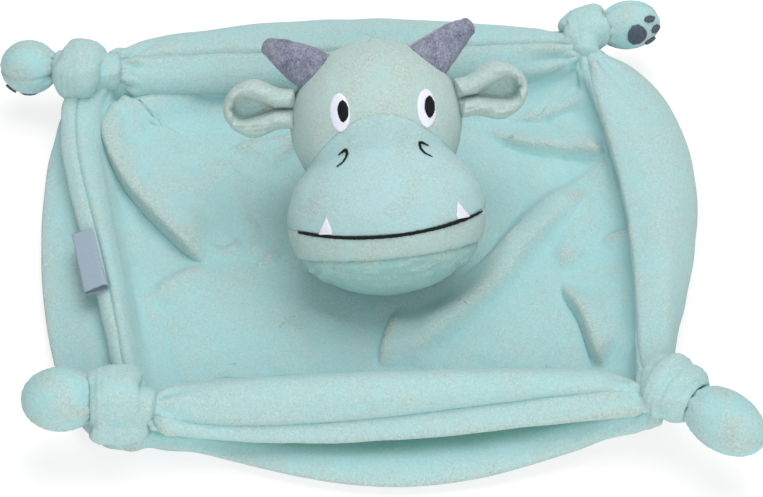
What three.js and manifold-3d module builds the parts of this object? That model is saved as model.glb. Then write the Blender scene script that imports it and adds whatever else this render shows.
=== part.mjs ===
// A plush comforter toy for dogs: a double blanket with four knotted corners, a stuffed paw on each
// corner, and a stuffed dragon head sewn on the middle.
// Millimetres, +Z up, -Y to the front, +X to the viewer's right. The origin is on the floor under the
// middle of the blanket, on the flat underside of its back panel.

import * as THREE from 'three';
import { mergeVertices } from 'three/addons/utils/BufferGeometryUtils.js';
import Module from 'manifold-3d';

const wasm = await Module();
wasm.setup();

const vec = (x, y, z) => new THREE.Vector3(x, y, z);
const radians = THREE.MathUtils.degToRad;

// Clearance between two pieces that touch
const GAP = 0.3;

// Blanket: cloth thickness, and the grid of its two panels
const CLOTH = 1.8;
const BLANKET_STEPS_PER_SIDE = 10;
const BLANKET_FLOOR_RINGS = [0.25, 0.5, 0.7, 0.86];
const BLANKET_RIM_STEPS = 6;
const BLANKET_MIDDLE = vec(-4, 2, 0);
const FLOOR_Z = CLOTH / 2;
const UPPER_Z = FLOOR_Z + CLOTH + GAP;
const BLANKET_TOP_Z = UPPER_Z + CLOTH / 2;

// Corners, counter-clockwise seen from above. The gather is where the cloth enters the knot, the arm
// is the way the paw points, and the neck is how far along it the paw begins. The sole is the way the
// paw's pads face, the two wraps of the knot lean by their tilts in degrees, and the belly gives the
// heights of the last three points of the rim's section at the corner.
const CORNERS = [
  {
    name: 'front_left',
    gather: vec(-104, -110, 27),
    knot: vec(-118, -108, 30),
    knotSize: 0.94,
    arm: vec(-24, -1.2, 1.2),
    neck: 5.9,
    pawRadius: 14.2,
    pawHalfLength: 17.2,
    sole: vec(-0.35, 0.25, -1),
    wrapTilts: [12, -34],
    belly: [14, 6, FLOOR_Z],
  },
  {
    name: 'front_right',
    gather: vec(120, -105, 27),
    knot: vec(131, -103.4, 29.3),
    knotSize: 1,
    arm: vec(20, -18, 0.8),
    neck: 5,
    pawRadius: 13.3,
    pawHalfLength: 20.3,
    sole: vec(0.3, 0.35, -1),
    wrapTilts: [-8, 30],
    belly: [24, 20, 17],
  },
  {
    name: 'back_right',
    gather: vec(102, 118, 25),
    knot: vec(102.5, 133, 26),
    knotSize: 0.86,
    arm: vec(23, 3.5, 1),
    neck: 7.5,
    pawRadius: 12.2,
    pawHalfLength: 15.8,
    sole: vec(0.45, -0.85, 0.27),
    wrapTilts: [16, -24],
    belly: [14, 6, FLOOR_Z],
  },
  {
    name: 'back_left',
    gather: vec(-134, 104, 25),
    knot: vec(-149, 103.2, 27),
    knotSize: 1.04,
    arm: vec(-27, 3.5, -1),
    neck: 12.8,
    pawRadius: 13.5,
    pawHalfLength: 14.4,
    sole: vec(-0.3, -0.2, -1),
    wrapTilts: [-14, 32],
    belly: [18, 12, FLOOR_Z],
  },
];

// Section of the blanket's rim, as [outward from the line between two gathers, height]: foot, rise,
// inner edge, crest, brow, seam, lip, tuck, top of the belly, edge of the belly, floor.
const SEAM_INDEX = 5;
const BELLY_INDEX = 8;
const CORNER_SECTION = [
  [-34, UPPER_Z], [-23, 11], [-14, 19], [-9, 25], [-4, 29], [1, 30.5],
  [5, 28], [5, 22], [4, 14], [5, 6], [-2, FLOOR_Z],
];

// The four sides, front, right, back and left, each from one corner to the next, with their sections at
// three places.
const SECTION_PLACES = [0.15, 0.5, 0.85];
const SIDES = [
  [
    [
      [-34, UPPER_Z], [-25, 14], [-16, 27], [-9, 32], [0, 29.5], [9, 18],
      [14, 13], [7, 9], [14, 8], [24, 5], [17, FLOOR_Z],
    ],
    [
      [-34, UPPER_Z], [-25, 14], [-16, 28], [-8, 34], [0, 31.5], [5, 23.5],
      [11.5, 17], [5, 10.5], [15, 8], [29, 5], [21, FLOOR_Z],
    ],
    [
      [-34, UPPER_Z], [-25, 15], [-17, 30], [-9, 36.5], [-4, 35], [0, 31],
      [8, 22], [2, 16], [9, 13], [16, 6], [10, FLOOR_Z],
    ],
  ],
  [
    [
      [-16, UPPER_Z], [-6, 4.5], [0, 8], [1, 13], [-1, 18], [-3, 21.5],
      [5, 25.5], [13, 26], [17, 20], [18, 12], [13, 8],
    ],
    [
      [-13, UPPER_Z], [-3, 4.5], [9, 8], [11, 13], [8, 18], [5, 21.5],
      [12, 25.5], [22, 27], [32, 21], [39, 8], [32, FLOOR_Z],
    ],
    [
      [-13, UPPER_Z], [-3, 4.5], [5, 8], [7, 13], [4, 18], [1, 21.5],
      [10, 25.5], [22, 27], [44, 21], [54, 8], [44, FLOOR_Z],
    ],
  ],
  [
    [
      [-24, UPPER_Z], [-12, 5], [-3, 9], [-6, 16], [-2, 22], [8, 27],
      [17, 27], [27, 25], [35, 19], [42, 9], [34, FLOOR_Z],
    ],
    [
      [-24, UPPER_Z], [-12, 5], [-3, 9], [-7, 16], [-4, 22], [7, 26.5],
      [16, 27], [26, 25.5], [36, 20], [42, 9], [34, FLOOR_Z],
    ],
    [
      [-24, UPPER_Z], [-12, 5], [-3, 9], [-7, 16], [-3, 23], [10, 28],
      [22, 28.5], [32, 26], [40, 19], [45, 10], [36, FLOOR_Z],
    ],
  ],
  [
    [
      [-2, UPPER_Z], [8, 6], [16, 11], [19, 16], [24, 19.5], [29, 20],
      [36, 17], [34, 11], [36, 8], [43, 5], [36, FLOOR_Z],
    ],
    [
      [-9, UPPER_Z], [1, 7], [5, 12], [7.5, 17], [11, 20.5], [15, 20.5],
      [20.5, 17], [20, 11], [28, 9], [42, 5], [35, FLOOR_Z],
    ],
    [
      [-7, UPPER_Z], [2, 7], [5, 12], [7, 17], [9, 20], [11.5, 20],
      [15, 16.5], [14.5, 11], [27, 9], [41, 5], [34, FLOOR_Z],
    ],
  ],
];
const SECTION_SHARPNESS = 0.4;
const CORNER_TURN = 1.15;
const SEAM_BREAK = 0.05;

// Main folds of the cloth that lies on the floor: a line of points, height and half width
const FOLDS = [
  { line: [[-140, 88], [-104, 18], [-82, -8]], height: 7, width: 9 },
  { line: [[-83, -8], [-116, -33]], height: 3, width: 8 },
  { line: [[107, 52], [62, 10], [20, -30]], height: 8, width: 10 },
  { line: [[84, 2], [33, -47], [8, -72]], height: 5, width: 9 },
  { line: [[-82, 67], [-44, 76]], height: 4, width: 8 },
  { line: [[44, 90], [74, 73], [108, 62]], height: 5, width: 9 },
];
const HEAD_PATCH = { centre: [0, 14], inner: 46, outer: 66 };

// Label: a folded woven ribbon sewn on the left hem, at a share of that side, drooping in degrees
const LABEL = { width: 38, reach: 11, ply: 0.5, fold: 0.9, drop: 12, side: 3, middle: 0.56, hemStep: 0.05 };

// Knots: a sleeve with two wraps round it, sunk into it, and the room that the blanket leaves them
const KNOT = {
  core: 9,
  round: 2.5,
  throat: 2,
  wrap: 6.4,
  wrapSink: 0.4,
  wrapPlaces: [5.2, -4.2],
  clear: 1.3,
  steps: 12,
  wrapSteps: 7,
  cutSteps: 10,
  cutWrapSteps: 6,
  stemSteps: 8,
};

// Paws: cover wall, neck opening, and swing each way in degrees about the middle of the opening
const PAW = { wall: 1.2, opening: 4, swing: 20, steps: 13, rings: 7 };
const SWEEP = { step: 12, end: 120 };

// Pads: half sizes, the ring that the toes stand on, their spread in degrees, and how far down the
// paw the sole sits
const PAD = { sole: [5.8, 4.8], toe: [2.4, 3.9], ring: 9.8, toeDrop: 1, spread: 42, soleDrop: 3, thick: 0.7 };
const PAD_STEPS = 10;

// Head: place of its middle over the floor, how far it lies over the blanket, its tilt back, turn to the
// right and lean in degrees, and its cover's wall
const HEAD = { x: 0, y: 14, lift: 0.7, tilt: 42, turn: 2.5, lean: -4, wall: 1.6 };
const HEAD_GRID = { steps: 30, rings: 17 };
const HEAD_INNER_GRID = { steps: 20, rings: 12 };

// The dome, the muzzle and the nape, in the head's own axes, and how sharply they blend
const HEAD_FORMS = [
  { centre: vec(0, 10, 21.5), radii: vec(40.5, 40, 38.5) },
  { centre: vec(0, -10, -21.5), radii: vec(46.5, 34, 36.8) },
  { centre: vec(0, 22, 4), radii: vec(34, 30, 32) },
];
const HEAD_BLEND = 14;
const SIDE_SEAM_Y = 5;

// Seams of the face, each as a height at the middle and a rise at a half width
const CROWN_SEAM = { middle: 27, rise: -26, half: 37 };
const MOUTH_SEAM = { middle: -27.6, rise: 4.8, half: 43 };
const CHIN_SEAM = { middle: -39.2, rise: 1.2, half: 35 };

const KNIFE = { reach: 60, steps: 12 };
const FACE_PRECISION = 1e-9;

// Squeaker in the head's filling: a bulb with bevelled edges, and a reed with a collar in its mouth
const SQUEAKER = { radius: 13, height: 13, bevel: 3, wall: 1.1, seat: 10, steps: 14 };
const REED = { radius: 4.5, depth: 4, collar: 2, collarHeight: 1.2, room: 7 };

// Neck seam: a stitched ring under the nape
const NECK = { x: 0, y: 31, radius: 14, bead: 0.8, steps: 18, beadSteps: 5 };

// Horns, in the head's own axes: a curved line, the radius along it, and how far it starts inside
const HORN = {
  base: vec(25.5, 5, 47),
  bend: vec(37, 7, 56),
  tip: vec(46.5, 9, 61.5),
  radii: [10.6, 9.7, 8.3, 6.6, 4.4],
  sink: 12,
  flatness: 0.85,
  tipLength: 0.45,
  tipWidth: 0.72,
  steps: 12,
};

// Ears, in the head's own axes: a leaf that is sewn on along its root, with a lined hollow to the front
// between its two rolls. The pinches are the depth and the height at the root, as shares of the whole.
const EAR = {
  root: vec(39.5, 3, 29),
  rise: 6,
  halfLength: 17,
  halfDepth: 8.5,
  halfHeight: 14,
  pinch: 0.42,
  rootPinch: 0.67,
  hollowPinch: 0.3,
  pinchEnds: [0.1, 0.55],
  flatRoot: 0.3,
  hollowHalfLength: 12.8,
  hollowHalfHeight: 8.4,
  hollowAhead: 2.2,
  cup: 5.5,
  lining: 1.2,
  liningFront: 3.8,
};
const EAR_GRID = { steps: 13, rings: 9 };

// Embroidery: how far it stands off the cloth and how thick it is
const STITCH = 0.6;
const EYE = { white: [4.5, 8.6], pupil: [2.6, 4.9], shift: [1.4, 0.5], steps: 16, pupilSteps: 12 };
const EYES = { left: [-17, 7.89], right: [22, 10.09] };
const NOSTRIL = {
  hook: [[20.9, 5.2], [17.6, 7.3], [15.8, 9.9], [16, 12], [19.8, 10.1]],
  width: 0.9,
  lift: 0.5,
  steps: 8,
};
const MOUTH = { left: -43, right: 42.5, width: 1.5, steps: 20 };
const TOOTH = { halfWidth: 3.1, height: 8, left: -29.4, right: 33.4, centre: 0.3 };
const TOOTH_OUTLINE = [
  [-1, 0], [0, 0], [1, 0], [0.6, 0.36], [0.24, 0.75], [0, 1], [-0.24, 0.75], [-0.6, 0.36],
];

// Colours and roughness of the pastel plush and its trims
const FINISH = {
  blanket: { color: 0xaed3d4, roughness: 0.95 },
  crown: { color: 0xbcd6d2, roughness: 0.95 },
  muzzle: { color: 0xb0d1d3, roughness: 0.95 },
  jaw: { color: 0xa5d0cd, roughness: 0.95 },
  horn: { color: 0x7f8494, roughness: 0.95 },
  filling: { color: 0xf2f2ee, roughness: 1 },
  white: { color: 0xe6eaf4, roughness: 0.6 },
  black: { color: 0x1d2a25, roughness: 0.6 },
  pad: { color: 0x566270, roughness: 0.6 },
  label: { color: 0xa7bbce, roughness: 0.7 },
  plastic: { color: 0xeeeeee, roughness: 0.4 },
};

// Further than any piece reaches, for knives and boxes that cut right through
const BEYOND = 100;

// Turns a closed geometry into a solid.
function toSolid(geometry) {
  const bare = geometry.clone();
  bare.deleteAttribute('normal');
  bare.deleteAttribute('uv');
  const merged = mergeVertices(bare, 1e-4);
  return new wasm.Manifold(new wasm.Mesh({
    numProp: 3,
    vertProperties: new Float32Array(merged.attributes.position.array),
    triVerts: new Uint32Array(merged.index.array),
  }));
}

// Turns a solid back into a geometry.
function toGeometry(solid) {
  const mesh = solid.getMesh();
  const geometry = new THREE.BufferGeometry();
  geometry.setAttribute('position', new THREE.BufferAttribute(mesh.vertProperties, 3));
  geometry.setIndex(new THREE.BufferAttribute(mesh.triVerts, 1));
  return geometry;
}

// Keeps the largest body of a solid that a cut has split.
function largest(solid) {
  const bodies = solid.decompose();
  return bodies.reduce((best, body) => (body.volume() > best.volume() ? body : best));
}

// A closed skin through rings of points, with a fan at each end.
function loft(rings) {
  const count = rings[0].length;
  const points = rings.flat();
  const index = [];
  for (let ring = 0; ring < rings.length - 1; ring += 1) {
    for (let step = 0; step < count; step += 1) {
      const a = ring * count + step;
      const b = ring * count + (step + 1) % count;
      index.push(a, b, a + count, b, b + count, a + count);
    }
  }
  const ends = [rings[0], rings[rings.length - 1]];
  ends.forEach((ring, end) => {
    const hub = points.length;
    points.push(ring.reduce((sum, p) => sum.add(p), vec(0, 0, 0)).divideScalar(count));
    const first = end === 0 ? 0 : (rings.length - 1) * count;
    for (let step = 0; step < count; step += 1) {
      const a = first + step;
      const b = first + (step + 1) % count;
      index.push(...(end === 0 ? [b, a, hub] : [a, b, hub]));
    }
  });
  const geometry = new THREE.BufferGeometry().setFromPoints(points);
  geometry.setIndex(index);
  return geometry;
}

// Moves each vertex of a geometry by a function of its place.
function reshape(geometry, change) {
  const position = geometry.attributes.position;
  for (let i = 0; i < position.count; i += 1) {
    const moved = change(vec(position.getX(i), position.getY(i), position.getZ(i)));
    position.setXYZ(i, moved.x, moved.y, moved.z);
  }
  return geometry;
}

// A sphere whose poles lie on the X axis, ready to be reshaped.
function unitBall(grid) {
  return new THREE.SphereGeometry(1, grid.steps, grid.rings).rotateZ(-Math.PI / 2);
}

// A profile of [radius, along] turned about a line from one point towards another.
function turned(profile, from, towards, steps) {
  const points = profile.map(([radius, along]) => new THREE.Vector2(radius, along));
  const geometry = new THREE.LatheGeometry(points, steps);
  const axis = towards.clone().sub(from).normalize();
  geometry.applyQuaternion(new THREE.Quaternion().setFromUnitVectors(vec(0, 1, 0), axis));
  return geometry.translate(from.x, from.y, from.z);
}

// Makes a named mesh.
function piece(name, geometry, finish) {
  const material = new THREE.MeshStandardMaterial({ ...FINISH[finish], metalness: 0 });
  const mesh = new THREE.Mesh(geometry, material);
  mesh.name = name;
  return mesh;
}

// Blanket

// Share of the side's own section at a place along it: 0 at the gathers, 1 in the middle.
function fullness(along) {
  return Math.sin(Math.PI * along) ** SECTION_SHARPNESS;
}

// Outward direction at a corner, level with the floor.
function cornerNormal(index) {
  return CORNERS[index].gather.clone().sub(BLANKET_MIDDLE).setZ(0).normalize();
}

// Shares of a side's three sections at a place along it.
function sectionWeights(along) {
  const place = THREE.MathUtils.clamp(along, 0.1, 0.9);
  return SECTION_PLACES.map((own) => SECTION_PLACES.filter((other) => other !== own).reduce(
    (weight, other) => (weight * (place - other)) / (own - other),
    1,
  ));
}

// Points of the rim's section at a place along a side.
function sectionPoints(side, along) {
  const next = (side + 1) % CORNERS.length;
  const start = CORNERS[side].gather.clone().setZ(0);
  const end = CORNERS[next].gather.clone().setZ(0);
  const base = start.clone().lerp(end, along);
  const run = end.clone().sub(start).normalize();
  const outward = vec(run.y, -run.x, 0);
  const share = fullness(along);
  const nearest = along < 0.5 ? side : next;
  const corner = cornerNormal(nearest);
  const normal = corner.lerp(outward, Math.min(1, share * CORNER_TURN)).normalize();
  const weights = sectionWeights(along);
  return CORNER_SECTION.map(([offset, level], i) => {
    const height = i < BELLY_INDEX ? level : CORNERS[nearest].belly[i - BELLY_INDEX];
    const mixed = (k) => weights.reduce((sum, weight, j) => sum + weight * SIDES[side][j][i][k], 0);
    const o = THREE.MathUtils.lerp(offset, mixed(0), share);
    const z = THREE.MathUtils.lerp(height, mixed(1), share);
    return base.clone().addScaledVector(normal, o).setZ(z);
  });
}

// Height of the folds over a place on the floor.
function foldHeight(point) {
  let height = 0;
  for (const fold of FOLDS) {
    let nearest = Infinity;
    for (let i = 0; i < fold.line.length - 1; i += 1) {
      const a = new THREE.Vector3(...fold.line[i], 0);
      const b = new THREE.Vector3(...fold.line[i + 1], 0);
      const flat = vec(point.x, point.y, 0);
      const closest = new THREE.Line3(a, b).closestPointToPoint(flat, true, vec(0, 0, 0));
      nearest = Math.min(nearest, closest.distanceTo(flat));
    }
    height += fold.height * Math.exp(-((nearest / fold.width) ** 2));
  }
  const fromHead = Math.hypot(point.x - HEAD_PATCH.centre[0], point.y - HEAD_PATCH.centre[1]);
  return height * THREE.MathUtils.smoothstep(fromHead, HEAD_PATCH.inner, HEAD_PATCH.outer);
}

// Places round the blanket as [side, along], closer together near the knots.
function perimeterPlaces() {
  const places = [];
  for (let side = 0; side < CORNERS.length; side += 1) {
    for (let step = 0; step < BLANKET_STEPS_PER_SIDE; step += 1) {
      const even = step / BLANKET_STEPS_PER_SIDE;
      const eased = (1 - Math.cos(Math.PI * even)) / 2;
      places.push([side, (even + eased) / 2]);
    }
  }
  return places;
}

// One radial line of a panel's middle surface, from near the blanket's middle to the hem.
function panelLine(side, along, upper) {
  const curve = new THREE.CatmullRomCurve3(sectionPoints(side, along), false, 'centripetal');
  const spans = CORNER_SECTION.length - 1;
  const seam = SEAM_INDEX / spans;
  const foot = upper ? 0 : 1;
  const hem = upper ? seam - SEAM_BREAK / 2 : seam + SEAM_BREAK / 2;
  const edge = curve.getPoint(foot);
  const level = upper ? UPPER_Z : FLOOR_Z;
  const middle = BLANKET_MIDDLE.clone().setZ(level);
  const line = BLANKET_FLOOR_RINGS.map((share) => {
    const point = middle.clone().lerp(edge.clone().setZ(level), share);
    return upper ? point.setZ(level + foldHeight(point)) : point;
  });
  for (let step = 0; step <= BLANKET_RIM_STEPS; step += 1) {
    const point = curve.getPoint(foot + (hem - foot) * (step / BLANKET_RIM_STEPS));
    line.push(point.setZ(Math.max(point.z, level)));
  }
  return line;
}

// A closed thin sheet on both sides of a grid of points, with a middle point.
function sheet(lines, middle, thickness, lowest) {
  const around = lines.length;
  const rings = lines[0].length;
  const at = (i, j) => lines[(i + around) % around][j];
  const points = [];
  const faces = [1, -1];
  faces.forEach((face) => {
    points.push(middle.clone().setZ(middle.z + face * thickness / 2));
    for (let i = 0; i < around; i += 1) {
      for (let j = 0; j < rings; j += 1) {
        const inner = j === 0 ? middle : at(i, j - 1);
        const outer = at(i, Math.min(j + 1, rings - 1));
        const radial = outer.clone().sub(inner);
        const along = at(i + 1, j).clone().sub(at(i - 1, j));
        const normal = radial.cross(along).normalize();
        const point = at(i, j).clone().addScaledVector(normal, face * thickness / 2);
        points.push(point.setZ(Math.max(point.z, lowest)));
      }
    }
  });
  const half = 1 + around * rings;
  const id = (face, i, j) => face * half + 1 + (i % around) * rings + j;
  const index = [];
  for (let i = 0; i < around; i += 1) {
    index.push(0, id(0, i, 0), id(0, i + 1, 0));
    index.push(half, id(1, i + 1, 0), id(1, i, 0));
    for (let j = 0; j < rings - 1; j += 1) {
      const [a, b, c, d] = [id(0, i, j), id(0, i, j + 1), id(0, i + 1, j), id(0, i + 1, j + 1)];
      index.push(a, b, c, b, d, c);
      index.push(a + half, c + half, b + half, b + half, c + half, d + half);
    }
    const [p, q] = [id(0, i, rings - 1), id(0, i + 1, rings - 1)];
    index.push(p, p + half, q, p + half, q + half, q);
  }
  const geometry = new THREE.BufferGeometry().setFromPoints(points);
  geometry.setIndex(index);
  return geometry;
}

// One of the blanket's two panels, clear of the knots.
function blanketPanel(upper, cutters) {
  const lines = perimeterPlaces().map(([side, along]) => panelLine(side, along, upper));
  const level = upper ? UPPER_Z : FLOOR_Z;
  const geometry = sheet(lines, BLANKET_MIDDLE.clone().setZ(level), CLOTH, level - CLOTH / 2);
  let solid = toSolid(geometry);
  for (const cutter of cutters) {
    solid = solid.subtract(cutter);
  }
  return largest(solid);
}

// The folded label, sewn along its straight edge in the hem.
function labelLoop() {
  const hem = (along) => sectionPoints(LABEL.side, along)[SEAM_INDEX];
  const middle = hem(LABEL.middle);
  const run = hem(LABEL.middle + LABEL.hemStep).sub(hem(LABEL.middle - LABEL.hemStep)).normalize();
  const out = vec(run.y, -run.x, 0).normalize().applyAxisAngle(run, radians(LABEL.drop));
  const up = out.clone().cross(run).normalize();
  const thick = 2 * LABEL.ply + LABEL.fold;
  const straight = LABEL.reach - thick / 2;
  const quarter = Math.PI / 2;
  const profile = new THREE.Shape();
  profile.moveTo(0, 0);
  profile.lineTo(straight, 0);
  profile.absarc(straight, thick / 2, thick / 2, -quarter, quarter, false);
  profile.lineTo(0, thick);
  profile.lineTo(0, thick - LABEL.ply);
  profile.lineTo(straight, thick - LABEL.ply);
  profile.absarc(straight, thick / 2, LABEL.fold / 2, quarter, -quarter, true);
  profile.lineTo(0, LABEL.ply);
  profile.closePath();
  const options = { depth: LABEL.width, bevelEnabled: false, curveSegments: 4 };
  const geometry = new THREE.ExtrudeGeometry(profile, options);
  geometry.translate(0, CLOTH / 2 + GAP, -LABEL.width / 2);
  const basis = new THREE.Matrix4().makeBasis(out, up, out.clone().cross(up));
  return geometry.applyMatrix4(basis.setPosition(middle));
}

// Knots and paws

// Direction of a corner's sleeve where it meets the paw.
function armDirection(corner) {
  return corner.arm.clone().normalize();
}

// Where the paw's neck meets the knot.
function neckPoint(corner) {
  return corner.knot.clone().addScaledVector(armDirection(corner), corner.neck);
}

// The middle of a paw.
function pawMiddle(corner) {
  return neckPoint(corner).addScaledVector(armDirection(corner), corner.pawHalfLength);
}

// Outline of a paw from its neck to its tip, drawn in by an inset, as [radius, along].
function pawOutline(corner, inset) {
  const radius = corner.pawRadius - inset;
  const half = corner.pawHalfLength - inset;
  const first = Math.asin(Math.min(1, PAW.opening / radius));
  const outline = [];
  for (let ring = 0; ring <= PAW.rings; ring += 1) {
    const angle = first + (Math.PI - first) * (ring / PAW.rings);
    outline.push([radius * Math.sin(angle), corner.pawHalfLength - half * Math.cos(angle)]);
  }
  outline[PAW.rings][0] = 0;
  return outline;
}

// How far along its arm a paw bends: at the middle of the cover's wall in the opening.
function pawBend(corner) {
  return (pawOutline(corner, 0)[0][1] + pawOutline(corner, PAW.wall)[0][1]) / 2;
}

// The space that a paw sweeps at its neck as it swings either way.
function pawSweep(corner) {
  const bend = pawBend(corner);
  const behind = corner.pawHalfLength - bend;
  const radius = corner.pawRadius + GAP;
  const half = corner.pawHalfLength + GAP;
  const reach = (angle) => {
    const [sine, cosine] = [Math.sin(angle), Math.cos(angle)];
    const a = (sine / radius) ** 2 + (cosine / half) ** 2;
    const b = (behind * cosine) / half ** 2;
    const c = (behind / half) ** 2 - 1;
    return (Math.sqrt(b * b - a * c) - b) / a;
  };
  const round = 1 / Math.cos(Math.PI / PAW.steps);
  const profile = [];
  for (let angle = 0; angle <= SWEEP.end; angle += SWEEP.step) {
    const far = reach(radians(Math.min(angle + PAW.swing, 180))) + GAP;
    profile.push([round * far * Math.sin(radians(angle)), -far * Math.cos(radians(angle))]);
  }
  profile[0][0] = 0;
  profile.push([0, profile[profile.length - 1][1]]);
  const arm = armDirection(corner);
  const pivot = neckPoint(corner).addScaledVector(arm, bend);
  return toSolid(turned(profile, pivot, pivot.clone().add(arm), PAW.steps));
}

// A rod with rounded ends from one point to another and a little past it.
function roundedRod(radius, from, to, steps) {
  const length = from.distanceTo(to);
  const round = KNOT.round;
  const profile = [
    [0, 0], [radius - round, 0], [radius, round],
    [radius, length], [radius - round, length + round], [0, length + round],
  ];
  return toSolid(turned(profile, from, to, steps));
}

// A tied corner: the sleeve and the wraps round it, grown on all sides if asked.
function knotSolid(corner, grow, steps, wrapSteps) {
  const arm = armDirection(corner);
  const inward = corner.gather.clone().sub(corner.knot).normalize();
  const throat = corner.gather.clone().addScaledVector(inward, KNOT.throat + grow);
  const size = corner.knotSize;
  const core = KNOT.core * size + grow;
  let solid = roundedRod(core, throat, corner.knot, steps);
  solid = solid.add(roundedRod(core, corner.knot, neckPoint(corner), steps));
  const leanings = [arm.clone().cross(vec(0, 0, 1)).normalize(), vec(0, 0, 1)];
  corner.wrapTilts.forEach((tilt, i) => {
    const ring = (KNOT.core - KNOT.wrapSink) * size;
    const wrap = new THREE.TorusGeometry(ring, KNOT.wrap * size + grow, wrapSteps, steps);
    const axis = arm.clone().applyAxisAngle(leanings[i], radians(tilt));
    wrap.applyQuaternion(new THREE.Quaternion().setFromUnitVectors(vec(0, 0, 1), axis));
    const place = corner.knot.clone().addScaledVector(arm, KNOT.wrapPlaces[i]);
    wrap.translate(place.x, place.y, place.z);
    solid = solid.add(toSolid(wrap));
  });
  return solid;
}

// The stem of cloth that runs from a knot into its paw's opening.
function knotStem(corner) {
  const swing = radians(PAW.swing);
  const radius = PAW.opening * Math.cos(swing) - (PAW.wall / 2) * Math.sin(swing) - GAP;
  const mouth = neckPoint(corner).addScaledVector(armDirection(corner), pawOutline(corner, 0)[0][1]);
  const length = corner.knot.distanceTo(mouth);
  const profile = [[0, 0], [radius, 0], [radius, length], [0, length]];
  return toSolid(turned(profile, corner.knot, mouth, KNOT.stemSteps));
}

// A knot that leaves its paw room to swing.
function knot(corner) {
  const tied = largest(knotSolid(corner, 0, KNOT.steps, KNOT.wrapSteps).subtract(pawSweep(corner)));
  return tied.add(knotStem(corner));
}

// A paw's cover, open at the neck.
function pawShell(corner) {
  const profile = [...pawOutline(corner, PAW.wall).reverse(), ...pawOutline(corner, 0)];
  return turned(profile, neckPoint(corner), pawMiddle(corner), PAW.steps);
}

// The filling inside a paw's cover.
function pawFilling(corner) {
  const outline = pawOutline(corner, PAW.wall + GAP);
  return turned([[0, outline[0][1]], ...outline], neckPoint(corner), pawMiddle(corner), PAW.steps);
}

// A point on a paw's surface in a direction from its middle, lifted off it.
function pawSurface(corner, direction, lift) {
  const arm = armDirection(corner);
  const unit = direction.clone().normalize();
  const along = unit.dot(arm);
  const across = Math.sqrt(Math.max(0, 1 - along ** 2));
  const reach = 1 / Math.hypot(along / corner.pawHalfLength, across / corner.pawRadius);
  return pawMiddle(corner).addScaledVector(unit, reach + lift);
}

// A thin oval patch whose points come from a surface function of two coordinates and a lift.
function patch(outline, surface, low, high, centre, rings = [0.5, 1]) {
  const layers = [low, high].map((lift) => [
    surface(centre[0], centre[1], lift),
    ...rings.flatMap((share) => outline.map(([x, z]) => surface(
      THREE.MathUtils.lerp(centre[0], x, share),
      THREE.MathUtils.lerp(centre[1], z, share),
      lift,
    ))),
  ]);
  const count = outline.length;
  const half = 1 + rings.length * count;
  const index = [];
  for (let i = 0; i < count; i += 1) {
    const n = (i + 1) % count;
    const [a, b] = [1 + i, 1 + n];
    index.push(half, half + a, half + b);
    index.push(0, b, a);
    for (let ring = 0; ring < rings.length - 1; ring += 1) {
      const [p, q, r, t] = [a, b, a + count, b + count].map((k) => k + ring * count);
      index.push(half + p, half + r, half + q, half + q, half + r, half + t);
      index.push(p, q, r, q, t, r);
    }
    const [u, v] = [i, n].map((k) => 1 + (rings.length - 1) * count + k);
    index.push(u, v, half + u, v, half + v, half + u);
  }
  const geometry = new THREE.BufferGeometry().setFromPoints(layers.flat());
  geometry.setIndex(index);
  return geometry;
}

// Points round an oval.
function oval(x, z, halfWidth, halfHeight, count) {
  return Array.from({ length: count }, (_, i) => {
    const angle = 2 * Math.PI * (i / count);
    return [x + halfWidth * Math.cos(angle), z + halfHeight * Math.sin(angle)];
  });
}

// The sole pad and the three toe pads of a paw.
function pawPads(corner) {
  const forward = corner.sole.clone().normalize();
  const arm = armDirection(corner);
  const tipward = arm.clone().addScaledVector(forward, -arm.dot(forward)).normalize();
  const sideways = tipward.clone().cross(forward).normalize();
  const surface = (x, z, lift) => {
    const direction = forward.clone().multiplyScalar(corner.pawRadius);
    direction.addScaledVector(sideways, x).addScaledVector(tipward, z);
    return pawSurface(corner, direction, lift);
  };
  const make = (name, x, z, [halfWidth, halfHeight], rings) => {
    const outline = oval(x, z, halfWidth, halfHeight, PAD_STEPS);
    const geometry = patch(outline, surface, 2 * GAP, 2 * GAP + PAD.thick, [x, z], rings);
    return piece(`paw_${corner.name}_${name}`, geometry, 'pad');
  };
  const toes = [-1, 0, 1].map((step) => {
    const angle = radians(step * PAD.spread);
    const x = PAD.ring * Math.sin(angle);
    const z = PAD.ring * Math.cos(angle) - PAD.toeDrop;
    return make(`toe_pad_${step + 2}`, x, z, PAD.toe, [1]);
  });
  return [make('sole_pad', 0, -PAD.soleDrop, PAD.sole, [0.5, 1]), ...toes];
}

// Head, in its own axes: +X to the viewer's right, -Y out of the face, +Z to the crown

const headTurn = new THREE.Matrix4()
  .makeRotationZ(radians(HEAD.turn))
  .multiply(new THREE.Matrix4().makeRotationX(radians(-HEAD.tilt)))
  .multiply(new THREE.Matrix4().makeRotationY(radians(HEAD.lean)));

// How far the head's surface is from its middle in a direction: the three forms blended.
function headReach(direction) {
  let sum = 0;
  for (const form of HEAD_FORMS) {
    const d = direction.clone().divide(form.radii);
    const c = form.centre.clone().divide(form.radii);
    const a = d.dot(d);
    const b = d.dot(c);
    const root = b * b - a * (c.dot(c) - 1);
    if (root > 0) {
      sum += Math.max(0, (b + Math.sqrt(root)) / a) ** HEAD_BLEND;
    }
  }
  return sum ** (1 / HEAD_BLEND);
}

// The head's outer form, drawn in by an inset.
function headBall(inset, grid) {
  return reshape(unitBall(grid), (p) => p.normalize().multiplyScalar(headReach(p) - inset));
}

// The head's own axes in the toy, with its lowest point just over the blanket.
function headFrame() {
  const turnedBall = headBall(0, HEAD_GRID).applyMatrix4(headTurn);
  turnedBall.computeBoundingBox();
  const height = BLANKET_TOP_Z + HEAD.lift - turnedBall.boundingBox.min.z;
  return headTurn.clone().setPosition(HEAD.x, HEAD.y, height);
}

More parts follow.
